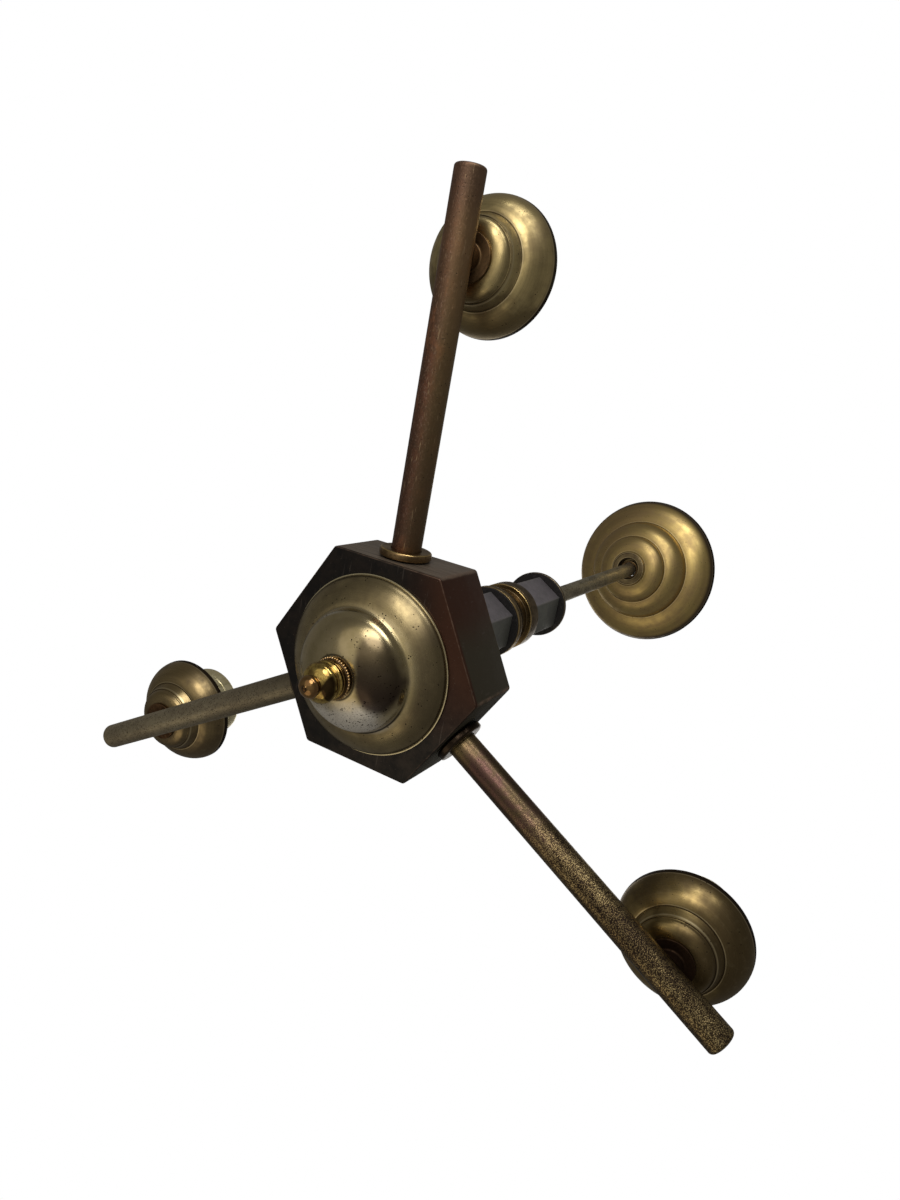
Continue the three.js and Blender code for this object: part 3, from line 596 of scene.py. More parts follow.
def spool_outline(low):
    return eased([
        (TUBE_BORE, low, 0.3), (DISC_RADIUS, low, 0.7), (DISC_RADIUS, low + 2.6, 0.3),
        (26.6, low + 3.0, 0.2), (DISC_RADIUS, low + 3.4, 0.3), (DISC_RADIUS, low + 6.5, 0.9),
        (22.4, low + 6.5, 0.3), (22.0, low + 7.0, 0.4),
        (22.0, low + 24.0, 0.4), (22.4, low + 24.5, 0.3), (26.0, low + 24.5, 0.8),
        (26.0, low + 27.4, 0.3), (25.5, low + 27.8, 0.2), (26.0, low + 28.2, 0.3),
        (26.0, low + 38.5, 0.8), (TUBE_BORE, low + 38.5, 0.3),
    ], 4)


def model_hex_bar(name, low):
    bar = hex_block(HEX_CORNER, low, low + HEX_LENGTH, 0)
    bevel_edges(bar, 0.55, 3, lambda a, b: True)
    carve(bar, rod(TUBE_BORE, low - 1, low + HEX_LENGTH + 1, 64))
    return settle(finish_shape(bar, name), *stands["hub"])


column = {
    "base_flange": on_hub("foot_flange", eased([
        (TUBE_BORE, 44.2, 0.3), (DISC_RADIUS, 44.2, 0.5), (DISC_RADIUS, 49.2, 1.2), (20.4, 49.2, 0.3),
        (20.0, 49.7, 0.4), (20.0, 62.2, 0.5), (TUBE_BORE, 62.2, 0.3)], 4)),
    "lower_spool": on_hub("spool_low", spool_outline(62.5)),
    "upper_spool": on_hub("spool_high", spool_outline(152.9)),
    "lower_hex_bar": model_hex_bar("hex_low", HEX_FEET["lower_hex_bar"]),
    "upper_hex_bar": model_hex_bar("hex_high", HEX_FEET["upper_hex_bar"]),
    "top_disc": on_hub("disc_top", eased([
        (TUBE_BORE, 243.3, 0.3), (DISC_RADIUS, 243.3, 0.7), (DISC_RADIUS, 246.3, 0.9), (10.9, 246.3, 0.3),
        (10.5, 246.8, 0.4), (10.5, 249.8, 0.6), (TUBE_BORE, 249.8, 0.3)], 4)),
}
for name, low in WASHER_FEET.items():
    column[name] = on_hub("washer_" + name[:5], eased([
        (TUBE_BORE, low, 0.2), (WASHER_RADIUS, low, 0.4),
        (WASHER_RADIUS, low + WASHER_DEPTH, 0.4), (TUBE_BORE, low + WASHER_DEPTH, 0.2)], 3))
print("column pieces:", ", ".join(piece.name for piece in column.values()))

# %% [markdown]
# ## Stem and eye
#
# The stem is a thin tube, and the eye on top of it is a ring of wire on a short boss. The ring is a torus
# that is joined to its turned boss by a boolean, with a bore for the supply lead.

# %% Stem and eye
STEM_LOW, STEM_TOP = 250.1, 512.5
STEM_RADIUS = 7.3
EYE_RADIUS, WIRE_RADIUS = 11, 2.5
EYE_MIDDLE = 528.8
LEAD_BORE = 3.4
stem = on_hub("stem_pipe", eased([
    (TUBE_BORE, STEM_LOW, 0.2), (STEM_RADIUS, STEM_LOW, 0.5),
    (STEM_RADIUS, STEM_TOP, 0.4), (TUBE_BORE, STEM_TOP, 0.2)], 3), 72)


def model_eye():
    eye = turned("ring_eye", eased([
        (0, 500.8, 0), (5.0, 500.8, 0.4), (5.0, 512.8, 0), (STEM_RADIUS, 512.8, 0.5),
        (STEM_RADIUS, 516.6, 0), (6.4, 517.8, 0.6), (3.0, 518.9, 0.8), (0, 519.4, 0),
    ], 4), 64)
    deselect_all()
    bpy.ops.mesh.primitive_torus_add(
        major_radius=EYE_RADIUS * MM, minor_radius=WIRE_RADIUS * MM, major_segments=72, minor_segments=20,
        location=(0, 0, EYE_MIDDLE * MM), rotation=(math.pi / 2, 0, 0))
    bpy.ops.object.transform_apply(location=True, rotation=True, scale=True)
    ring = bpy.context.object
    take(eye)
    weld = eye.modifiers.new("weld", "BOOLEAN")
    weld.operation = "UNION"
    weld.solver = "EXACT"
    weld.object = ring
    bpy.ops.object.modifier_apply(modifier=weld.name)
    bpy.data.objects.remove(ring)
    carve(eye, rod(LEAD_BORE, 499, 521, 32))
    return settle(finish_shape(eye, "ring_eye", 40), *stands["hub"])


eye = model_eye()
print("stem and eye:", len(stem.data.polygons), len(eye.data.polygons), "faces")

# %% [markdown]
# ## Canopy
#
# The canopy hides the ceiling hook. It is spun in three steps and leans on a ring that is clamped to the
# stem, with a bush in its floor.

# %% Canopy, bush and clamp
def canopy_line():
    line = [(13.1, -8.0), (19.0, -8.0)]
    line += swell((19.4, -8.0), (36.6, 3.1), 16)
    line += [(36.7, 3.35), (37.0, 3.6), (37.5, 3.75)]
    line += swell((37.8, 3.8), (54.0, 22.9), 20, 0.15)
    line += [(54.1, 23.15), (54.4, 23.4), (54.9, 23.55)]
    line += swell((55.2, 23.6), (79.6, 43.7), 24, 0.2)
    line += [(79.9, 44.15), (80.3, 44.4)]
    return line


CANOPY_WALL = 1.2
canopy = settle(turned("canopy_bowl", sheet(canopy_line(), CANOPY_WALL), 160), *stands["canopy"])
bush = settle(turned("canopy_bush_ring", eased([
    (11.6, -10.3, 0.4), (16.6, -10.3, 0.2), (16.9, -10.0, 0.2), (17.2, -10.3, 0.2),
    (18.3, -10.3, 0.6), (18.3, -8.3, 0.4), (12.8, -8.3, 0),
    (12.8, 0.75, 0.3), (8.2, 0.75, 0.4), (8.2, -0.75, 0.4), (11.6, -0.75, 0.3),
], 4), 96), *stands["canopy"])
clamp_slope = math.tan(math.radians(CANOPY_LEAN))
clamp_top = -0.75 / math.cos(math.radians(CANOPY_LEAN)) - 0.3
CLAMP_BORE, CLAMP_RADIUS, CLAMP_DEPTH = 7.6, 9.8, 5
clamp_rim = clamp_top - CLAMP_RADIUS * clamp_slope
clamp = settle(turned("clamp_collar", eased([
    (CLAMP_BORE, clamp_rim - CLAMP_DEPTH, 0.4), (CLAMP_RADIUS, clamp_rim - CLAMP_DEPTH, 0.6),
    (CLAMP_RADIUS, clamp_rim, 0.4), (CLAMP_BORE, clamp_top - CLAMP_BORE * clamp_slope, 0.3),
], 4), 72), (0, 0, CANOPY_PIVOT * MM))
print("canopy:", len(canopy.data.polygons), "faces")

# %% [markdown]
# ## Writing materials as arithmetic
#
# A finish is a small formula: so much brown where this noise is high, a thin pale line at that radius.
# `Term` wraps a socket so that such formulas can be typed with + and *, and `Finish.node` adds any other
# node. Patterns are drawn in millimetres in the piece's own frame, which a Mapping node centres and turns.

# %% Terms and finishes
class Term:
    """One value of a material, on which arithmetic can be written."""

    def __init__(self, finish, socket):
        self.finish = finish
        self.socket = socket

    def math(self, operation, *values):
        return self.finish.node("ShaderNodeMath", {"operation": operation}, dict(enumerate(values)))

    def __add__(self, other):
        return self.math("ADD", self, other)

    def __sub__(self, other):
        return self.math("SUBTRACT", self, other)

    def __rsub__(self, other):
        return self.math("SUBTRACT", other, self)

    def __mul__(self, other):
        return self.math("MULTIPLY", self, other)

    def __pow__(self, other):
        return self.math("POWER", self, other)

    def absolute(self):
        return self.math("ABSOLUTE", self)

    __radd__ = __add__
    __rmul__ = __mul__


class Finish:
    """A material whose pattern is drawn in millimetres in the frame of a stand."""

    def __init__(self, name, stand, **constants):
        self.material = bpy.data.materials.new(name)
        self.material.use_nodes = True
        self.tree = self.material.node_tree
        self.shader = self.tree.nodes["Principled BSDF"]
        for socket, value in constants.items():
            self.shader.inputs[socket.replace("_", " ")].default_value = value
        place, turn = stands[stand]
        here = self.node("ShaderNodeTexCoord", output="Object")
        self.place = self.node("ShaderNodeMapping", {"vector_type": "TEXTURE"}, {
            "Vector": here, "Location": place, "Rotation": [math.radians(a) for a in turn],
            "Scale": (MM, MM, MM)})
        parts = self.node("ShaderNodeSeparateXYZ", inputs={0: self.place}).socket.node
        self.x, self.y, self.z = (Term(self, socket) for socket in parts.outputs)

    def node(self, kind, settings=None, inputs=None, output=0):
        """Adds a node, first with its settings and then with the values or links of its sockets."""
        made = self.tree.nodes.new(kind)
        for key, value in (settings or {}).items():
            setattr(made, key, value)
        for key, value in (inputs or {}).items():
            if isinstance(value, Term):
                self.tree.links.new(value.socket, made.inputs[key])
            elif isinstance(value, tuple) and len(value) == 3 and made.inputs[key].type == "RGBA":
                made.inputs[key].default_value = (*value, 1.0)
            else:
                made.inputs[key].default_value = value
        return Term(self, made.outputs[output])

    def feed(self, **terms):
        """Links terms to the shader's own sockets."""
        for socket, term in terms.items():
            self.tree.links.new(term.socket, self.shader.inputs[socket.replace("_", " ")])
        return self

    def radius(self):
        return (self.x * self.x + self.y * self.y) ** 0.5

    def around(self, r, height):
        """A place that is the same all round the axis, for marks that run in circles."""
        return self.node("ShaderNodeCombineXYZ", inputs={0: r, 1: height})

    def moved(self, where, size, stretch, shift):
        """A place in units of size, moved by a shift so that no two patterns match."""
        return self.node("ShaderNodeMapping", {"vector_type": "POINT"}, {
            "Vector": where or self.place, "Location": (shift, shift * 0.7, shift * 1.3),
            "Scale": tuple(s / size for s in stretch)})

    def grain(self, size, detail=2.0, stretch=(1, 1, 1), shift=0.0, where=None):
        """Noise from 0 to 1 whose features are about size millimetres, shorter along a stretched axis."""
        return self.node("ShaderNodeTexNoise", {"noise_dimensions": "3D"}, {
            "Vector": self.moved(where, size, stretch, shift),
            "Scale": 1.0, "Detail": detail, "Roughness": 0.55})

    def cells(self, size, stretch=(1, 1, 1), shift=0.0):
        """Distance from the middle of scattered cells about size millimetres apart, as a share of it."""
        return self.node("ShaderNodeTexVoronoi", {}, {
            "Vector": self.moved(None, size, stretch, shift), "Scale": 1.0}, "Distance")

    def cloud(self, broad, fine, stretch=(1, 1, 1), shift=0.0, step=3.0):
        """Broad noise with finer noise in it. Each of the two is a size and a detail."""
        small = self.grain(*fine, shift=shift + step)
        return self.grain(*broad, stretch, shift) * 0.6 + small * 0.4

    def specks(self, size, core, rim, shift=0.0):
        """Round spots about size millimetres apart, solid to the core's share of it and gone at the rim's."""
        return self.between(self.cells(size, shift=shift), core, rim, 1.0, 0.0)

    def between(self, term, low, high, start=0.0, end=1.0):
        """Goes smoothly from start to end while the term goes from low to high."""
        return self.node("ShaderNodeMapRange", {"interpolation_type": "SMOOTHSTEP"}, {
            "Value": term, "From Min": low, "From Max": high, "To Min": start, "To Max": end})

    def line(self, term, middle, width):
        """1 on a line where the term equals middle, fading to 0 over the width on both sides."""
        return self.between((term - middle).absolute(), 0.0, width, 1.0, 0.0)

    def wave(self, term, length):
        """A sine wave of a length in millimetres."""
        return term.math("SINE", term * (math.tau / length))

    def tint(self, amount, base, other):
        """A colour that turns from base to other by an amount."""
        return self.node("ShaderNodeMix", {"data_type": "RGBA"}, {0: amount, 6: base, 7: other}, 2)

    def paint(self, amount, other):
        """Lays another colour over the coat's own by an amount."""
        self.color = self.tint(amount, self.color, other)

    def done(self, rough, height, strength, **others):
        """Feeds the shader and gives the finished material. The relief's height is in millimetres."""
        relief = self.node("ShaderNodeBump", {}, {"Strength": strength, "Distance": MM, "Height": height})
        return self.feed(Base_Color=self.color, Roughness=rough, Normal=relief, **others).material


print("terms and finishes are ready")

# %% [markdown]
# ## Brass that was spun on a lathe
#
# The dome, the cups and the canopy were pressed over a wooden form while they turned, so the roller's marks
# run round them and show as fine circles in the colour. Over that lie cloudy brown stains, with painted shade
# towards one side, small pits that the polish never reached, painted shade in the creases with a painted
# highlight beside each, and a painted dark reflection at the rim. One function makes all of them, and what a
# piece doesn't have, such as a floor of another colour, is left out.

# %% Spun brass
DARK = (0.02, 0.013, 0.01)


def spun_brass(name, stand, gold, brown, creases, rim=None, stain=(0.36, 0.66), depth=0.7,
               gloss=(0.27, 0.38), shift=0.0, floor=None, rust=None, edge=None, shade=None):
    """A finish for spun brass. Creases are (distance, width) pairs from the axis, each painted with a line of
    shade and a painted highlight just outside it, and the rim is a height above which a painted dark
    reflection lies.
    The floor is a distance within which the floor colour shows, and a painted dark reflection starts near the
    edge's distance. The shade is a direction in X and Y with the two distances along it between which painted
    shade darkens the stains."""
    coat = Finish(name, stand, Metallic=1.0)
    r = coat.radius()
    rings = coat.around(r, coat.z)
    marks = coat.grain(0.5, 3.0, where=rings, shift=shift)
    bands = coat.grain(5.0, 1.0, where=rings, shift=shift + 3)
    cloud = coat.grain(26.0, 2.0, shift=shift) * 0.55 + coat.grain(7.0, 5.0, shift=shift + 5) * 0.45
    stains_and_shade = cloud + bands * 0.25 - 0.125
    # Painted shade: along the shade's direction the stains grow darker.
    if shade:
        stains_and_shade = stains_and_shade + coat.between(coat.x * shade[0] + coat.y * shade[1], *shade[2:], 0.0, 0.2)
    stains_and_shade = coat.between(stains_and_shade, *stain)
    coat.color = coat.tint(stains_and_shade * depth, gold, brown)
    coat.paint(coat.between(marks, 0.35, 0.75, 0.0, 0.22), tuple(c * 0.35 for c in brown))
    bloom = coat.between(coat.grain(3.2, 4.0, shift=shift + 8), 0.5, 0.8, 0.0, 0.25)
    coat.paint(bloom, (0.36, 0.29, 0.17))
    patches = coat.between(coat.grain(9.0, 3.0, shift=shift + 11), 0.52, 0.62)
    pits = coat.specks(2.3, 0.10, 0.2, shift) * patches
    dirt_and_shade = pits
    # Painted shade: a dark line in each crease, with a thin pale painted highlight just outside it.
    for distance, width in creases:
        dirt_and_shade = dirt_and_shade + coat.line(r, distance, width)
        coat.paint(coat.line(r, distance + 0.75, 0.4) * 0.55, (0.80, 0.68, 0.42))
    # Painted dark reflection: the wall darkens outwards from near the edge distance.
    if edge:
        coat.paint(coat.between(r, edge - 2.5, edge + 0.5, 0.0, 0.85), (0.06, 0.04, 0.04))
    # Painted dark reflection: the wall darkens above the rim height, with a thin pale line just below it.
    if rim:
        coat.paint(coat.line(coat.z, rim - 0.7, 0.5) * 0.6, (0.62, 0.52, 0.34))
        dirt_and_shade = dirt_and_shade + coat.between(coat.z, rim - 0.5, rim + 0.3)
    # The floor colour is rust, except on the second cup, where it is painted shade in the dark neck.
    if floor:
        ragged = coat.grain(4.0, 4.0, shift=shift + 2) * 6.0 + r
        coat.paint(coat.between(ragged, floor, floor + 3.0, 1.0, 0.0), rust)
    coat.paint(coat.between(dirt_and_shade, 0.0, 1.0, 0.0, 0.92), DARK)
    rough = coat.between(cloud, 0.35, 0.65, *gloss) + stains_and_shade * 0.1 + dirt_and_shade * 0.2
    height = marks * 0.02 + coat.grain(16.0, 1.0, shift=shift) * 0.08 - pits * 0.06
    return coat.done(rough, height, 0.5)


# Gold, brown and floor colour of each cup, and the side towards which painted shade darkens it
CUP_LOOKS = {
    1: ((0.70, 0.56, 0.27), (0.13, 0.095, 0.056), (0.17, 0.10, 0.05), (-1.0, -0.2)),
    2: ((0.35, 0.26, 0.11), (0.085, 0.06, 0.035), (0.03, 0.02, 0.013), (0.7, -0.7)),
    3: ((0.37, 0.28, 0.14), (0.115, 0.088, 0.058), (0.11, 0.055, 0.025), (0.2, -1.0)),
}
CREASE = 0.5
cup_coats = {}
for k, (gold, brown, rust, side) in CUP_LOOKS.items():
    cup_coats[k] = spun_brass(
        f"cup_brass_{k}", f"cup_{k}", gold, brown, ((23.6, CREASE), (26.9, CREASE)),
        rim=40.6, shift=13.0 * k, floor=14.5, rust=rust, shade=(*side, 0.0, 34.0))
# The canopy gets painted shade towards +X and +Y and a painted dark reflection along its rim and outer edge.
canopy_coat = spun_brass(
    "canopy_brass", "canopy", (0.70, 0.53, 0.205), (0.33, 0.22, 0.135),
    ((36.9, CREASE), (54.4, CREASE), (19.0, CREASE)), rim=41.5, stain=(0.3, 0.74), depth=0.6,
    gloss=(0.33, 0.38), shift=2.0, edge=78.0, shade=(0.83, 0.56, 10.0, 70.0))
bush_coat = spun_brass("bush_brass", "canopy", (0.40, 0.31, 0.16), (0.14, 0.10, 0.07),
                       ((16.9, 0.35), (11.8, CREASE)), shift=31.0)
print("spun brass for", ", ".join(f"cup {k}" for k in cup_coats), "and the canopy")

# %% [markdown]
# ## Dome
#
# The dome is the most worn piece. Its inner tier was polished so often that it is nearly silver, with a
# grainy pale zone full of black pits low on it. A dark purple-brown painted reflection lies beside the
# finial, with a painted highlight on the crease towards +X and painted shade along its lower side. The outer
# tier kept its olive gold and the circles of the spinning.

# %% Dome brass
def dome_brass():
    coat = Finish("dome_brass", "hub", Metallic=1.0)
    r = coat.radius()
    rings = coat.around(r, coat.z)
    marks = coat.grain(0.45, 3.0, where=rings)
    cloud = coat.cloud((24.0, 3.0), (6.0, 5.0), shift=4, step=2)
    fine = coat.grain(0.7, 3.0, shift=1)
    outer = coat.between(r + coat.x * 0.12 + coat.y * -0.05, 34.0, 39.0)
    inner = coat.tint(coat.between(cloud, 0.36, 0.66), (0.60, 0.50, 0.30), (0.46, 0.38, 0.20))
    tier = coat.tint(coat.between(cloud, 0.36, 0.66), (0.43, 0.35, 0.19), (0.26, 0.21, 0.12))
    tier = coat.tint(coat.between(marks, 0.4, 0.75, 0.0, 0.3), tier, (0.16, 0.12, 0.06))
    coat.color = coat.tint(outer, inner, tier)
    coat.paint(outer * coat.between(coat.x, -44.0, -22.0, 0.4, 0.0), (0.12, 0.09, 0.06))
    wobble = coat.grain(9.0, 3.0, shift=3) * 8.0 - 4.0
    # The painted dark reflection is a leaning oval on the -X side of the finial, cut off softly at both its
    # ends.
    lean = (coat.y - 6.0).math("MAXIMUM", coat.y - 6.0, 0.0) * 0.4
    across = (coat.x + 25.0 - lean) * 0.078
    along = (coat.y - 6.0) * 0.044 - lean * 0.012
    oval = across * across + along * along + wobble * 0.04
    painted_dark_reflection = coat.between(oval, 0.6, 1.15, 1.0, 0.0) * coat.between(coat.y, -4.0, 26.0, 1.0, 0.72)
    painted_dark_reflection = painted_dark_reflection * coat.between(coat.y, 25.5, 29.0, 1.0, 0.3)
    # The pale zone is a crescent below the tarnish, out to the crease.
    low = coat.between(coat.y + coat.x * 0.35 + wobble, -24.0, -12.0, 1.0, 0.0)
    pale = low * (1.0 - outer) * coat.between(coat.x + wobble, -34.0, -22.0)
    coat.paint(pale * 0.85, (0.84, 0.82, 0.78))
    # Painted highlight: a near-white line along the inner tier's edge, on the +X side of the crease.
    band = coat.line(r, 35.9, 1.8) * coat.between(coat.x, 6.0, 20.0)
    coat.paint(band * 0.8, (0.95, 0.93, 0.86))
    # Painted dark reflection: the oval is laid on in dark purple-brown.
    coat.paint(painted_dark_reflection * 0.93, (0.045, 0.028, 0.026))
    patches = coat.grain(5.0, 3.0, shift=11) + pale * 0.15 + painted_dark_reflection * 0.06
    pits = coat.specks(1.7, 0.2, 0.32, 2) * coat.between(patches, 0.56, 0.64)
    rough_pale = pale * coat.between(fine, 0.45, 0.7)
    coat.paint(coat.between(rough_pale, 0.0, 1.0, 0.0, 0.5), (0.2, 0.17, 0.13))
    # Painted shade: a dark line along the crease on its -Y side, joined to the pits and the dark ring at the
    # bead ring's foot.
    crease = coat.line(r, 37.4, 1.1) * coat.between(coat.y + coat.x * 0.4 + wobble, -34.0, -6.0, 0.9, 0.0)
    worn = coat.between(r, 54.3, 54.7) * 0.8
    coat.paint(worn, (0.75, 0.68, 0.45))
    dirt_and_shade = coat.between(pits + crease + coat.line(r, 13.0, 1.4) * 0.8, 0.0, 1.0, 0.0, 0.95)
    coat.paint(dirt_and_shade, DARK)
    rough = coat.between(cloud, 0.35, 0.65, 0.17, 0.27) + outer * 0.08 + pale * 0.12 + dirt_and_shade * 0.25
    rough = rough + coat.line(r, 38.8, 2.6) * 0.25
    height = marks * 0.015 + coat.grain(16.0, 2.0) * 0.3 - pits * 0.08 + rough_pale * 0.02
    return coat.done(rough, height, 0.5, Metallic=1.0 - pale * 0.5)


dome_coat = dome_brass()
print("dome brass has", len(dome_coat.node_tree.nodes), "nodes")

# %% [markdown]
# ## Hub
#
# The hub's brown-black patina was put on with acid and wax. It is worn to mahogany on one side, olive on
# one side face, and to brushed metal on the face of the first arm, and the second arm's face is sooty. Its
# edges shine a little where hands and cloths rubbed them. How near a point is to the hexagon's rim is the
# largest of three absolute values, one for each pair of faces.

# %% Hub patina
def hub_patina():
    coat = Finish("hub_patina", "hub", Coat_Roughness=0.25, Specular_IOR_Level=0.3)
    x, y, z = coat.x, coat.y, coat.z
    cloud = coat.cloud((22.0, 4.0), (5.0, 5.0), step=4)
    wave = coat.grain(30.0, 2.0, shift=7) * 30.0 - 15.0
    coat.color = coat.tint(coat.between(cloud, 0.38, 0.62), (0.024, 0.018, 0.015), (0.009, 0.008, 0.008))
    red = coat.between(x + wave, -48.0, -5.0, 1.0, 0.0) * coat.between(y + wave, -38.0, 22.0)
    coat.paint(red * 0.85, (0.072, 0.027, 0.014))
    upright = coat.between(z, 0.9, 3.0)
    olive = upright * coat.between(y + wave * 0.3, 22.0, 48.0, 1.0, 0.0)
    olive = olive * coat.between(x, -40.0, -25.0, 1.0, 0.0)
    coat.paint(olive * 0.9, (0.062, 0.056, 0.036))
    # Brush marks run along the first arm's face, so their noise is long in X and short in Z.
    strokes = coat.grain(1.0, 4.0, stretch=(0.03, 1, 1), shift=5)
    top = coat.between(y, 62.6, 63.9) * coat.between(z, 0.6, 1.4)
    coat.paint(top * coat.between(strokes, 0.3, 0.7, 0.45, 1.0), (0.24, 0.195, 0.155))
    slant = (x * 0.866 + y * 0.5), (y * 0.5 - x * 0.866)
    hexagon = y.absolute()
    for side in slant:
        hexagon = hexagon.math("MAXIMUM", hexagon, side.absolute())
    r = coat.radius()
    rims = coat.between(z, 0.0, 0.7, 1.0, 0.0) * coat.between(hexagon, 63.2, 63.9)
    edges = rims + coat.between(r, 73.0, 73.7) * upright
    worn = edges * coat.between(coat.grain(6.0, 4.0, shift=8), 0.4, 0.6, 0.25, 0.8)
    coat.paint(worn, (0.22, 0.15, 0.11))
    scratches = coat.between(coat.grain(1.6, 2.0, stretch=(1, 0.06, 0.2), shift=12), 0.66, 0.72, 0.0, 0.35)
    coat.paint(scratches, (0.12, 0.10, 0.09))
    specks = coat.specks(2.6, 0.05, 0.1, 1)
    coat.paint(specks * 0.5, (0.2, 0.17, 0.14))
    # The face of the second arm is dull with soot, so it doesn't mirror the room.
    sooty = coat.between(slant[0], -63.9, -62.6, 1.0, 0.0) * coat.between(z, 0.4, 1.2)
    rough = coat.between(cloud, 0.35, 0.65, 0.3, 0.5) - worn * 0.1 + top * 0.05 + sooty * 0.5
    height = cloud * 0.15 + strokes * top * 0.03 + coat.grain(0.6, 3.0) * 0.02 - specks * 0.02
    return coat.done(rough, height, 0.5, Metallic=0.6 - sooty * 0.5, Coat_Weight=0.12 - sooty * 0.12)


hub_coat = hub_patina()
print("hub patina has", len(hub_coat.node_tree.nodes), "nodes")

# %% [markdown]
# ## Arms
#
# The three arms aged differently. The first is reddish brown with a pinkish frost, the second lost its
# patina in specks, so gold shows through black like hammered metal, and the third is grey olive with
# small dark pits. Each arm's pattern is drawn in its own frame, with X along the tube.

# %% Arm patinas
def arm_one():
    coat = Finish("arm_coat_1", "arm_1", Metallic=0.85)
    cloud = coat.cloud((18.0, 4.0), (4.0, 5.0), stretch=(0.45, 1, 1))
    frost = coat.between(coat.grain(1.1, 3.0, stretch=(0.6, 1, 1), shift=6), 0.52, 0.68)
    coat.color = coat.tint(coat.between(cloud, 0.38, 0.62), (0.235, 0.11, 0.068), (0.14, 0.083, 0.053))
    copper = coat.between(coat.grain(9.0, 3.0, stretch=(0.5, 1, 1), shift=15), 0.5, 0.68)
    coat.paint(copper * 0.85, (0.40, 0.17, 0.085))
    coat.paint(frost * 0.5, (0.40, 0.27, 0.21))
    crumbs = coat.between(coat.grain(0.8, 3.0, shift=31), 0.5, 0.7)
    coat.paint(crumbs * 0.6, (0.06, 0.035, 0.03))
    # Painted light: the +Y side of the tube is lighter and gold, the -Y side darker.
    coat.paint(coat.between(coat.y, 0.0, 7.5, 0.0, 0.75), (0.25, 0.175, 0.082))
    coat.paint(coat.between(coat.y, -8.5, -4.0, 0.6, 0.0), (0.075, 0.045, 0.045))
    coat.paint(coat.between(coat.x, 70.0, 190.0, 0.5, 0.0), (0.07, 0.045, 0.035))
    coat.paint(coat.between(coat.x, 170.0, 255.0, 0.0, 0.3), (0.40, 0.23, 0.13))
    coat.paint(coat.between(coat.x, 244.0, 272.0, 0.0, 0.55), (0.12, 0.075, 0.06))
    pits = coat.specks(1.9, 0.12, 0.22, 3) * coat.between(coat.grain(8.0, 2.0, shift=4), 0.48, 0.6)
    coat.paint(pits * 0.8, DARK)
    scrapes = coat.between(coat.grain(1.2, 2.0, stretch=(0.12, 1, 1), shift=22), 0.66, 0.74, 0.0, 0.6)
    coat.paint(scrapes, (0.5, 0.36, 0.22))
    rough = coat.between(cloud, 0.35, 0.65, 0.34, 0.5) + frost * 0.08
    height = frost * 0.06 - pits * 0.08 - crumbs * 0.05 + cloud * 0.1
    return coat.done(rough, height, 0.9)


def arm_two():
    coat = Finish("arm_coat_2", "arm_2", Metallic=1.0)
    cloud = coat.cloud((14.0, 4.0), (4.0, 4.0), stretch=(0.4, 1, 1))
    flakes = coat.cells(0.6, stretch=(0.75, 1, 1), shift=9.0)
    bare = coat.between(coat.x + cloud * 70.0 - 35.0, 104.0, 166.0)
    gold = coat.tint(coat.between(cloud, 0.4, 0.6), (0.78, 0.61, 0.30), (0.46, 0.34, 0.16))
    shown = coat.between(flakes + coat.grain(0.9, 2.0, shift=2) * 0.4, 0.5, 0.78, 1.0, 0.0)
    black = coat.tint(coat.between(cloud, 0.45, 0.6), (0.085, 0.06, 0.035), (0.04, 0.027, 0.02))
    hammered = coat.tint(shown * coat.between(cloud, 0.35, 0.65, 0.85, 0.5), black, gold)
    smooth = coat.tint(coat.between(cloud, 0.4, 0.6), (0.125, 0.07, 0.06), (0.11, 0.08, 0.045))
    smooth = coat.tint(coat.between(coat.x, 62.0, 86.0, 0.75, 0.0), smooth, (0.32, 0.25, 0.11))
    pits = coat.specks(1.6, 0.14, 0.24, 5) * coat.between(coat.grain(7.0, 2.0, shift=4), 0.45, 0.6)
    smooth = coat.tint(pits * 0.9, smooth, DARK)
    coat.color = coat.tint(bare, smooth, hammered)
    # Painted shade: the +Y side of the tube is darker.
    coat.paint(coat.between(coat.y, 0.0, 6.5, 0.0, 0.45), (0.04, 0.027, 0.02))
    rough = coat.between(shown, 0.0, 1.0, 0.42, 0.26)
    height = shown * bare * 0.08 - pits * 0.05 + cloud * 0.1
    return coat.done(rough, height, 0.7)


def arm_three():
    coat = Finish("arm_coat_3", "arm_3", Metallic=0.85)
    cloud = coat.cloud((12.0, 4.0), (3.0, 5.0), stretch=(0.5, 1, 1))
    coat.color = coat.tint(coat.between(cloud, 0.38, 0.62), (0.40, 0.345, 0.23), (0.26, 0.22, 0.15))
    pale = coat.between(coat.grain(1.3, 3.0, shift=7), 0.55, 0.7)
    coat.paint(pale * 0.5, (0.42, 0.38, 0.30))
    pits = coat.specks(1.15, 0.2, 0.38, 5) * coat.between(coat.grain(5.0, 2.0, shift=4), 0.36, 0.5)
    coat.paint(pits * 0.92, DARK)
    coat.paint(coat.between(coat.x, 80.0, 160.0, 0.5, 0.0), (0.08, 0.065, 0.045))
    rough = coat.between(cloud, 0.35, 0.65, 0.36, 0.5) + pits * 0.2
    height = pale * 0.03 - pits * 0.08 + cloud * 0.1
    return coat.done(rough, height, 0.6)


arm_coats = {1: arm_one(), 2: arm_two(), 3: arm_three()}
print("arm patinas:", ", ".join(coat.name for coat in arm_coats.values()))

# %% [markdown]
# ## Turned brass of the collars, spools and flanges
#
# These pieces were cut on a lathe from solid brass and lacquered brown. The tool's circles stretch each
# highlight across them, which is what the Anisotropic setting does. The lacquer wore off along the edges,
# which are now thin gold lines, so the finish takes lists of bright levels and dark grooves.

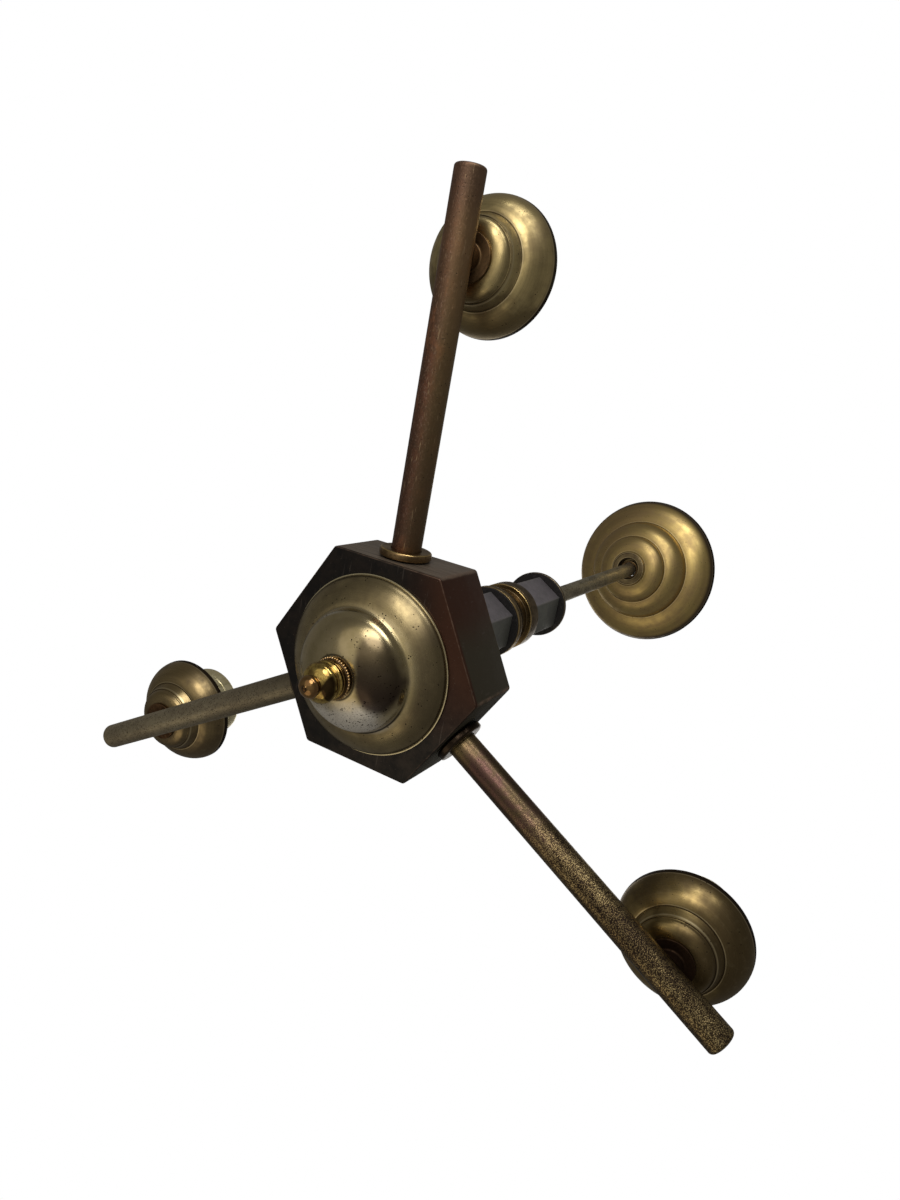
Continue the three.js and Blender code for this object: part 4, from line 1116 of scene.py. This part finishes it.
# %% Turned brass
def turned_brass(name, stand, body, edge, levels, grooves=(), shift=0.0, lying=False, gloss=(0.28, 0.42)):
    """Brown brass. Levels are (height, width, amount) of bright lines, grooves (height, width) of dark
    ones, and a lying piece has its axis along X."""
    coat = Finish(name, stand, Metallic=1.0, Anisotropic=0.3)
    height, across = (coat.x, coat.z) if lying else (coat.z, coat.x)
    rings = coat.around((across * across + coat.y * coat.y) ** 0.5, height)
    marks = coat.grain(0.4, 3.0, where=rings, shift=shift)
    cloud = coat.cloud((8.0, 4.0), (2.0, 4.0), shift=shift)
    dark = tuple(c * 0.5 for c in body)
    coat.color = coat.tint(coat.between(cloud, 0.4, 0.62), body, dark)
    coat.paint(coat.between(marks, 0.4, 0.75, 0.0, 0.35), dark)
    bright = sum(coat.line(height, level, width) * amount for level, width, amount in levels)
    worn = bright * coat.between(coat.grain(5.0, 3.0, shift=shift + 7), 0.35, 0.55, 0.55, 1.0)
    coat.paint(coat.between(worn, 0.0, 1.0), edge)
    dirt_and_shade = coat.specks(2.1, 0.08, 0.16, shift) * 0.7
    # Painted shade: dark lines along the grooves and inner corners, added to the specks of dirt.
    for level, width in grooves:
        dirt_and_shade = dirt_and_shade + coat.line(height, level, width)
    coat.paint(coat.between(dirt_and_shade, 0.0, 1.0, 0.0, 0.9), DARK)
    rough = coat.between(cloud, 0.35, 0.65, *gloss) - worn * 0.1 + dirt_and_shade * 0.2
    return coat.done(rough, marks * 0.02 + cloud * 0.1, 0.4)


BROWN = (0.26, 0.17, 0.085)
GOLD = (0.85, 0.62, 0.26)
# The body and edge of each arm's collar, and the body of each cup's saddle. The second saddle's body is
# dark as painted shade in that cup's neck.
COLLAR_LOOKS = {
    1: ((0.30, 0.20, 0.10), GOLD),
    2: ((0.05, 0.035, 0.024), (0.14, 0.10, 0.06)),
    3: ((0.2, 0.15, 0.09), GOLD),
}
SADDLE_BODIES = {1: (0.21, 0.13, 0.065), 2: (0.06, 0.035, 0.022), 3: (0.18, 0.10, 0.05)}
collar_lines = ((HUB_APOTHEM + 5.2, 0.5, 0.8), (HUB_APOTHEM + 1.6, 0.3, 0.35))
collar_groove = (HUB_APOTHEM + 0.9, 0.4)
collar_coats, saddle_coats = {}, {}
for k in ARM_TURNS:
    collar_coats[k] = turned_brass(f"collar_brass_{k}", f"arm_{k}", *COLLAR_LOOKS[k], collar_lines,
                                   (collar_groove,), shift=4.0 * k, lying=True)
    saddle_coats[k] = turned_brass(f"saddle_brass_{k}", f"cup_{k}", SADDLE_BODIES[k], (0.45, 0.28, 0.12),
                                   ((13.5, 0.3, 0.5),), shift=6.0 * k, gloss=(0.45, 0.65))
spool_coats = {
    "base_flange": turned_brass("flange_brass", "hub", BROWN, GOLD, ((49.0, 0.4, 0.8),), ((50.2, 0.7),)),
    "lower_spool": turned_brass(
        "low_spool_brass", "hub", BROWN, GOLD, ((69.0, 0.4, 0.8), (87.3, 0.4, 0.9)),
        ((65.5, 0.5), (70.3, 0.8), (90.3, 0.5)), shift=12.0),
    "upper_spool": turned_brass(
        "high_spool_brass", "hub", (0.215, 0.155, 0.085), GOLD,
        ((153.4, 0.4, 0.8), (154.4, 1.8, 0.5), (157.7, 0.35, 0.5), (159.2, 0.3, 0.6), (177.7, 0.45, 1.0)),
        ((155.9, 0.5), (160.7, 0.9), (168.0, 6.0), (180.7, 0.4)), shift=21.0),
    "top_disc": turned_brass("disc_brass", "hub", (0.2, 0.16, 0.11), (0.5, 0.42, 0.3),
                             ((243.6, 0.4, 0.7),), ((247.3, 0.8),), shift=28.0),
}
clamp_coat = turned_brass("clamp_brass", "canopy", BROWN, GOLD, ((-1.6, 0.3, 0.6),), shift=33.0)
print("turned brass:", ", ".join(coat.name for coat in spool_coats.values()))

# %% [markdown]
# ## Polished brass
#
# The finial was gripped and polished for decades. It is the yellowest and shiniest piece, with brown left
# only in its necks and on its head and tip, and with painted shade on the lower -X side of the ball.

# %% Finial and beads
def finial_brass():
    coat = Finish("finial_brass", "hub", Metallic=1.0)
    z = coat.z
    cloud = coat.cloud((3.5, 4.0), (1.2, 4.0))
    coat.color = coat.tint(coat.between(cloud, 0.4, 0.62), (0.72, 0.53, 0.16), (0.30, 0.19, 0.06))
    necks = coat.line(z, -40.2, 1.1) + coat.line(z, -52.3, 0.9) + coat.line(z, -42.4, 0.5)
    necks = necks + coat.line(z, -38.6, 1.0) * 0.6
    coat.paint(coat.between(necks, 0.0, 1.0, 0.0, 0.75), (0.10, 0.05, 0.018))
    # Painted shade: a dark patch on the -X side of the ball, near the tip.
    under = coat.between(coat.x * -1.0 - coat.y.absolute() * 0.5, 3.0, 6.0) * coat.line(z, -50.0, 5.2)
    coat.paint(coat.between(under, 0.1, 0.75, 0.0, 0.95), (0.04, 0.022, 0.012))
    coat.paint(coat.between(z, -39.9, -39.3, 0.0, 0.65), (0.17, 0.10, 0.04))
    end = coat.between(z, -53.5, -52.0, 1.0, 0.0)
    coat.paint(end * 0.8, (0.30, 0.16, 0.075))
    coat.paint(coat.between(z, -60.2, -59.4, 0.8, 0.0), (0.05, 0.028, 0.014))
    pits = coat.specks(1.1, 0.1, 0.18, 2) * coat.between(coat.grain(3.0, 2.0, shift=9), 0.5, 0.62)
    coat.paint(pits * 0.85, (0.06, 0.035, 0.015))
    marks = coat.grain(0.3, 2.0, where=coat.around(coat.radius(), z))
    rough = coat.between(cloud, 0.35, 0.65, 0.09, 0.2) + pits * 0.2 + end * 0.03
    height = marks * 0.01 + cloud * 0.03 - pits * 0.03
    return coat.done(rough, height, 0.5)


def bead_brass():
    """Beads rubbed to a pinkish gold on their outsides, with black grime between them."""
    coat = Finish("bead_brass", "hub", Metallic=1.0)
    r = coat.radius()
    cloud = coat.grain(2.5, 4.0, shift=2)
    coat.color = coat.tint(coat.between(cloud, 0.4, 0.62), (0.80, 0.56, 0.30), (0.58, 0.36, 0.14))
    between_beads = coat.between(r, BEAD_CIRCLE, BEAD_CIRCLE + 0.45, 1.0, 0.0)
    coat.paint(between_beads * 0.9, (0.05, 0.028, 0.015))
    rough = coat.between(cloud, 0.35, 0.65, 0.12, 0.25) + between_beads * 0.3
    return coat.done(rough, cloud * 0.03, 0.4)


finial_coat, bead_coat = finial_brass(), bead_brass()
print("polished brass for", finial_coat.name, "and", bead_coat.name)

# %% [markdown]
# ## Dark iron, fibre and the stem
#
# The hexagonal bars are blued iron, matt enough that each face has one even tone. Painted light makes the
# faces towards +Y a lighter bluish and the others a darker greenish. Black fibre washers part them from the
# spools.
# The stem is a plain tube whose grey-olive skin is full of small pits.

# %% Blued iron, fibre and stem
def blued_iron(name, low):
    coat = Finish(name, "hub", Metallic=0.45)
    cloud = coat.cloud((9.0, 4.0), (2.0, 5.0))
    # Painted light: faces towards +Y get the lighter bluish tone, the rest the darker greenish one.
    side = coat.between(coat.y, 11.6, 12.6)
    coat.color = coat.tint(side, (0.20, 0.207, 0.185), (0.255, 0.235, 0.262))
    coat.paint(coat.between(cloud, 0.4, 0.65, 0.0, 0.5), (0.13, 0.13, 0.134))
    strokes = coat.grain(0.8, 4.0, stretch=(1, 1, 0.05), shift=8)
    coat.paint(coat.between(strokes, 0.5, 0.8, 0.0, 0.3), (0.12, 0.115, 0.12))
    edges = coat.between(coat.radius(), 23.65, 24.1) + coat.between(coat.z, low, low + 0.6, 1.0, 0.0)
    edges = edges + coat.between(coat.z, low + HEX_LENGTH - 0.6, low + HEX_LENGTH)
    worn = edges * coat.between(coat.grain(4.0, 4.0, shift=6), 0.4, 0.6, 0.3, 0.9)
    coat.paint(coat.between(worn, 0.0, 1.0), (0.24, 0.23, 0.23))
    specks = coat.specks(2.4, 0.06, 0.12, 4) * 0.6
    coat.paint(specks, (0.14, 0.08, 0.05))
    rough = coat.between(cloud, 0.35, 0.65, 0.42, 0.55) - worn * 0.08
    height = strokes * 0.02 + cloud * 0.08
    return coat.done(rough, height, 0.5)


def black_fibre():
    coat = Finish("black_fibre", "hub", Metallic=0.0)
    threads = coat.grain(0.9, 4.0, stretch=(1, 1, 4))
    dust = coat.between(coat.grain(3.0, 4.0, shift=4), 0.52, 0.72)
    coat.color = coat.tint(dust * 0.6, (0.008, 0.007, 0.008), (0.035, 0.028, 0.03))
    rough = coat.between(threads, 0.3, 0.7, 0.45, 0.7)
    return coat.done(rough, threads * 0.08, 0.6)


def stem_patina():
    coat = Finish("stem_patina", "hub", Metallic=0.85)
    cloud = coat.cloud((11.0, 4.0), (2.5, 5.0), stretch=(1, 1, 0.5))
    coat.color = coat.tint(coat.between(cloud, 0.38, 0.62), (0.40, 0.36, 0.25), (0.20, 0.175, 0.125))
    lime = coat.between(coat.grain(1.2, 3.0, shift=7), 0.52, 0.7)
    coat.paint(lime * 0.7, (0.56, 0.53, 0.43))
    pits = coat.specks(1.5, 0.15, 0.3, 5) * coat.between(coat.grain(5.0, 2.0, shift=4), 0.4, 0.55)
    coat.paint(pits * 0.85, DARK)
    dark_end = coat.between(coat.z, 462.0, 500.0)
    coat.paint(dark_end * 0.45, (0.10, 0.075, 0.05))
    rough = coat.between(cloud, 0.35, 0.65, 0.36, 0.52) + pits * 0.2
    return coat.done(rough, lime * 0.03 - pits * 0.07, 0.6)


iron_coats = {"lower_hex_bar": blued_iron("blued_iron_low", HEX_FEET["lower_hex_bar"]),
              "upper_hex_bar": blued_iron("blued_iron_high", HEX_FEET["upper_hex_bar"])}
fibre_coat, stem_coat = black_fibre(), stem_patina()
print("dark pieces:", ", ".join(c.name for c in (*iron_coats.values(), fibre_coat, stem_coat)))

# %% [markdown]
# ## Lampholders
#
# The lampholders are thin pressed brass with a pale lacquer, streaked olive from top to bottom where it
# wept. Their cores are glazed porcelain, a little grey with dust, with a speck here and there.

# %% Pale brass and porcelain
def pale_brass(name, stand, low, high, shift):
    coat = Finish(name, stand, Metallic=0.75)
    streak = coat.grain(2.6, 4.0, stretch=(1, 1, 0.08), shift=shift)
    cloud = coat.grain(9.0, 4.0, shift=shift + 2)
    coat.color = coat.tint(coat.between(cloud, 0.4, 0.65), (0.92, 0.84, 0.54), (0.76, 0.67, 0.40))
    coat.paint(coat.between(streak, 0.48, 0.7, 0.0, 0.65), (0.42, 0.40, 0.20))
    white = coat.between(coat.grain(1.4, 3.0, stretch=(1, 1, 0.1), shift=shift + 9), 0.6, 0.72)
    coat.paint(white * 0.6, (0.95, 0.93, 0.82))
    rim = coat.between(coat.z, high - 1.0, high) + coat.between(coat.z, low, low + 1.0, 1.0, 0.0)
    coat.paint(coat.between(rim, 0.0, 1.0, 0.0, 0.5), (0.30, 0.24, 0.11))
    pits = coat.specks(2.0, 0.07, 0.13, shift) * 0.7
    coat.paint(pits, (0.08, 0.06, 0.03))
    rough = coat.between(streak, 0.35, 0.7, 0.2, 0.38)
    return coat.done(rough, cloud * 0.1 + streak * 0.02 - pits * 0.03, 0.4)


def porcelain(name, stand):
    coat = Finish(name, stand, Metallic=0.0, Coat_Weight=0.6, Coat_Roughness=0.08)
    cloud = coat.grain(9.0, 4.0)
    dust = coat.between(coat.grain(3.0, 5.0, shift=5), 0.5, 0.75)
    coat.color = coat.tint(coat.between(cloud, 0.35, 0.65), (0.78, 0.75, 0.68), (0.70, 0.66, 0.57))
    coat.paint(dust * 0.4, (0.45, 0.40, 0.32))
    specks = coat.specks(3.4, 0.04, 0.08, 1)
    coat.paint(specks * 0.8, (0.12, 0.09, 0.07))
    rough = coat.between(dust, 0.0, 1.0, 0.22, 0.5)
    return coat.done(rough, cloud * 0.15, 0.4)


cap_coats, sleeve_coats, ring_coats, core_coats = {}, {}, {}, {}
for k in ARM_TURNS:
    cup = f"cup_{k}"
    cap_coats[k] = pale_brass(f"cap_brass_{k}", cup, CAP_LOW, CAP_TOP, 3.0 * k)
    sleeve_coats[k] = pale_brass(f"sleeve_brass_{k}", cup, SLEEVE_LOW, SLEEVE_TOP, 5.0 * k)
    ring_coats[k] = pale_brass(f"shade_ring_brass_{k}", cup, RING_LOW, RING_TOP + 1.6, 7.0 * k)
    core_coats[k] = porcelain(f"core_glaze_{k}", cup)
print("lampholder coats:", 4 * len(ARM_TURNS))

# %% [markdown]
# ## Fasteners and wiring
#
# Nuts, washers, nipples, the central tube and the eye are zinc-grey steel, with the dull crystals of old
# plating and rust beginning in spots. The leads are wrapped in woven cotton, drawn as two crossing waves on
# the tube, and the terminal block is glazed like the cores.

# %% Steel and woven cotton
def old_steel(name, rust):
    coat = Finish(name, "stem", Metallic=0.95)
    crystals = coat.cells(2.2)
    cloud = coat.cloud((6.0, 4.0), (1.5, 4.0), shift=2)
    coat.color = coat.tint(coat.between(crystals, 0.1, 0.8), (0.46, 0.45, 0.42), (0.30, 0.29, 0.27))
    coat.paint(coat.between(cloud, 0.45, 0.65, 0.0, 0.6), (0.20, 0.18, 0.15))
    spots = coat.between(coat.grain(3.0, 5.0, shift=9), 0.68 - rust * 0.14, 0.78 - rust * 0.14)
    coat.paint(spots * 0.85, (0.16, 0.06, 0.025))
    rough = coat.between(cloud, 0.35, 0.65, 0.3, 0.45) + spots * 0.3
    height = crystals * 0.02 + spots * 0.05
    return coat.done(rough, height, 0.5)


def woven_cotton(name, thread, faded):
    coat = Finish(name, "stem", Metallic=0.0)
    twill = coat.wave(coat.x + coat.z, 1.2)
    counter = coat.wave(coat.y - coat.z, 1.2)
    weave = twill * counter
    cloud = coat.grain(7.0, 4.0)
    coat.color = coat.tint(coat.between(cloud, 0.4, 0.65), thread, faded)
    coat.paint(coat.between(weave, -0.6, 0.2, 0.75, 0.0), (0.03, 0.015, 0.012))
    dust = coat.between(coat.grain(2.0, 4.0, shift=4), 0.5, 0.75)
    coat.paint(dust * 0.35, (0.3, 0.27, 0.23))
    rough = coat.between(dust, 0.0, 1.0, 0.75, 0.95)
    return coat.done(rough, weave * 0.15, 0.7)


steel_coat, eye_coat = old_steel("old_steel", 0.3), old_steel("eye_steel", 0.8)
cotton_coat = woven_cotton("woven_cotton", (0.30, 0.07, 0.04), (0.22, 0.09, 0.06))
block_coat = porcelain("block_glaze", "hub")
print("fasteners and wiring:", steel_coat.name, eye_coat.name, cotton_coat.name, block_coat.name)

# %% [markdown]
# ## Dressing the model
#
# Each new piece takes its coat, rides on the body that carries it and stands in for its node. Nodes that
# stay hidden inside the lamp keep their plain shape and only get a material.

# %% Dressing
def dress(piece, node, body, coat):
    piece.data.materials.clear()
    piece.data.materials.append(coat)
    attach(piece, body)
    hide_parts(node)


dress(hub_box, "hub_shell", "fixture", hub_coat)
for k in ARM_TURNS:
    dress(arm_tubes[k], f"arm_tube_{k}", "fixture", arm_coats[k])
    dress(arm_plugs[k], f"arm_plug_{k}", "fixture", arm_coats[k])
    dress(arm_collars[k], f"arm_collar_{k}", "fixture", collar_coats[k])
    dress(bell_cups[k], f"bell_cup_{k}", "fixture", cup_coats[k])
    dress(cup_saddles[k], f"cup_saddle_{k}", "fixture", saddle_coats[k])
    dress(holder_caps[k], f"lampholder_cap_{k}", "fixture", cap_coats[k])
    dress(holder_cores[k], f"lampholder_core_{k}", "fixture", core_coats[k])
    dress(holder_sleeves[k], f"lampholder_sleeve_{k}", "fixture", sleeve_coats[k])
    dress(shade_rings[k], f"shade_ring_{k}", f"ring_{k}", ring_coats[k])
dress(dome, "dome_cover", "cover", dome_coat)
dress(bead_ring, "bead_ring", "cover", bead_coat)
dress(finial, "finial", "finial", finial_coat)
for node, piece in column.items():
    if node in iron_coats:
        dress(piece, node, "fixture", iron_coats[node])
    elif node in spool_coats:
        dress(piece, node, "fixture", spool_coats[node])
    else:
        dress(piece, node, "fixture", fibre_coat)
dress(stem, "stem_tube", "fixture", stem_coat)
dress(eye, "hanging_eye", "fixture", eye_coat)
dress(canopy, "canopy_shell", "canopy", canopy_coat)
dress(bush, "canopy_bush", "canopy", bush_coat)
dress(clamp, "clamp_ring", "canopy_clamp", clamp_coat)

hidden_coats = {"hub_washer": steel_coat, "hub_locknut": steel_coat, "centre_tube": steel_coat,
                "terminal_block": block_coat, "supply_lead": cotton_coat}
for k in ARM_TURNS:
    hidden_coats.update({f"arm_locknut_{k}": steel_coat, f"cup_nipple_{k}": steel_coat,
                         f"lamp_lead_{k}": cotton_coat})
for node, coat in hidden_coats.items():
    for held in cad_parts[node].material_slots:
        held.material = coat
print("dressed all pieces;", len(hidden_coats), "hidden nodes keep their shape")

# %% [markdown]
# ## Light
#
# Turned metal shows little but what it mirrors. Two soft windows stand beyond the lamp, towards +Y: a long
# strip near its height draws the bright streaks on the dome and the cups, and a larger panel lower down
# gives them their glow. A weak ochre panel on the other side warms what faces it, a broad low one fills in,
# and one above lights the tops. The world is white behind the lamp and dim in its reflections, as with a
# white backdrop and a dark room in front of it.

# %% Floor, world and lamps
FLOOR_SIZE = 12.0
FLOOR_HEIGHT = -1.9
LAMP_MIDDLE = Vector((0.0, 0.0, -0.45))


def add_floor():
    deselect_all()
    bpy.ops.mesh.primitive_plane_add(size=FLOOR_SIZE, location=(0, 0, FLOOR_HEIGHT))
    floor = bpy.context.object
    floor.name = "studio_floor"
    coat = Finish("studio_paint", "stem", Roughness=0.9)
    coat.feed(Base_Color=coat.tint(coat.grain(400.0), (0.8, 0.8, 0.79), (0.76, 0.76, 0.75)))
    floor.data.materials.append(coat.material)


def add_panel(name, azimuth, height, distance, size, radiance, color):
    """A soft oval panel seen from the lamp's middle at an azimuth and height in degrees."""
    side, up = math.radians(azimuth), math.radians(height)
    toward = Vector((math.cos(up) * math.cos(side), math.cos(up) * math.sin(side), math.sin(up)))
    lamp = bpy.data.lights.new(name, "AREA")
    lamp.shape = "ELLIPSE"
    lamp.size, lamp.size_y = size
    area = size[0] * size[1] * math.pi / 4
    lamp.energy = radiance * math.pi * area
    lamp.color = color
    holder = bpy.data.objects.new(name, lamp)
    bpy.context.scene.collection.objects.link(holder)
    holder.location = LAMP_MIDDLE + toward * distance
    holder.rotation_euler = (-toward).to_track_quat("-Z", "Y").to_euler()
    holder.visible_camera = False


def set_world(dim_color, dim_strength):
    world = bpy.data.worlds.new("studio_air")
    bpy.context.scene.world = world
    world.use_nodes = True
    tree = world.node_tree
    backdrop = tree.nodes["Background"]
    backdrop.inputs["Color"].default_value = (1, 1, 1, 1)
    backdrop.inputs["Strength"].default_value = 1.0
    dim = tree.nodes.new("ShaderNodeBackground")
    dim.inputs["Color"].default_value = (*dim_color, 1)
    dim.inputs["Strength"].default_value = dim_strength
    path = tree.nodes.new("ShaderNodeLightPath")
    choice = tree.nodes.new("ShaderNodeMixShader")
    tree.links.new(path.outputs["Is Camera Ray"], choice.inputs[0])
    tree.links.new(dim.outputs[0], choice.inputs[1])
    tree.links.new(backdrop.outputs[0], choice.inputs[2])
    tree.links.new(choice.outputs[0], tree.nodes["World Output"].inputs["Surface"])


DIM_COLOR = (1.0, 0.95, 0.87)
DIM_STRENGTH = 0.135
# Name, azimuth, height, distance, size, radiance and colour of each panel
PANELS = (
    ("window_strip", 103, -9, 1.5, (1.2, 0.36), 5.0, (1.0, 0.98, 0.94)),
    ("window_panel", 100, -42, 1.5, (0.85, 1.0), 3.2, (1.0, 0.95, 0.88)),
    ("ochre_panel", -74, -50, 1.5, (1.3, 1.1), 0.5, (1.0, 0.85, 0.62)),
    ("low_panel", 68, -66, 1.4, (1.4, 1.4), 0.3, (1.0, 0.9, 0.72)),
    ("top_panel", -55, 62, 2.0, (1.6, 1.6), 1.1, (1.0, 0.97, 0.93)),
)
add_floor()
set_world(DIM_COLOR, DIM_STRENGTH)
bpy.context.scene.view_settings.view_transform = "Standard"
for panel in PANELS:
    add_panel(*panel)
print("floor, world and lamps are set")
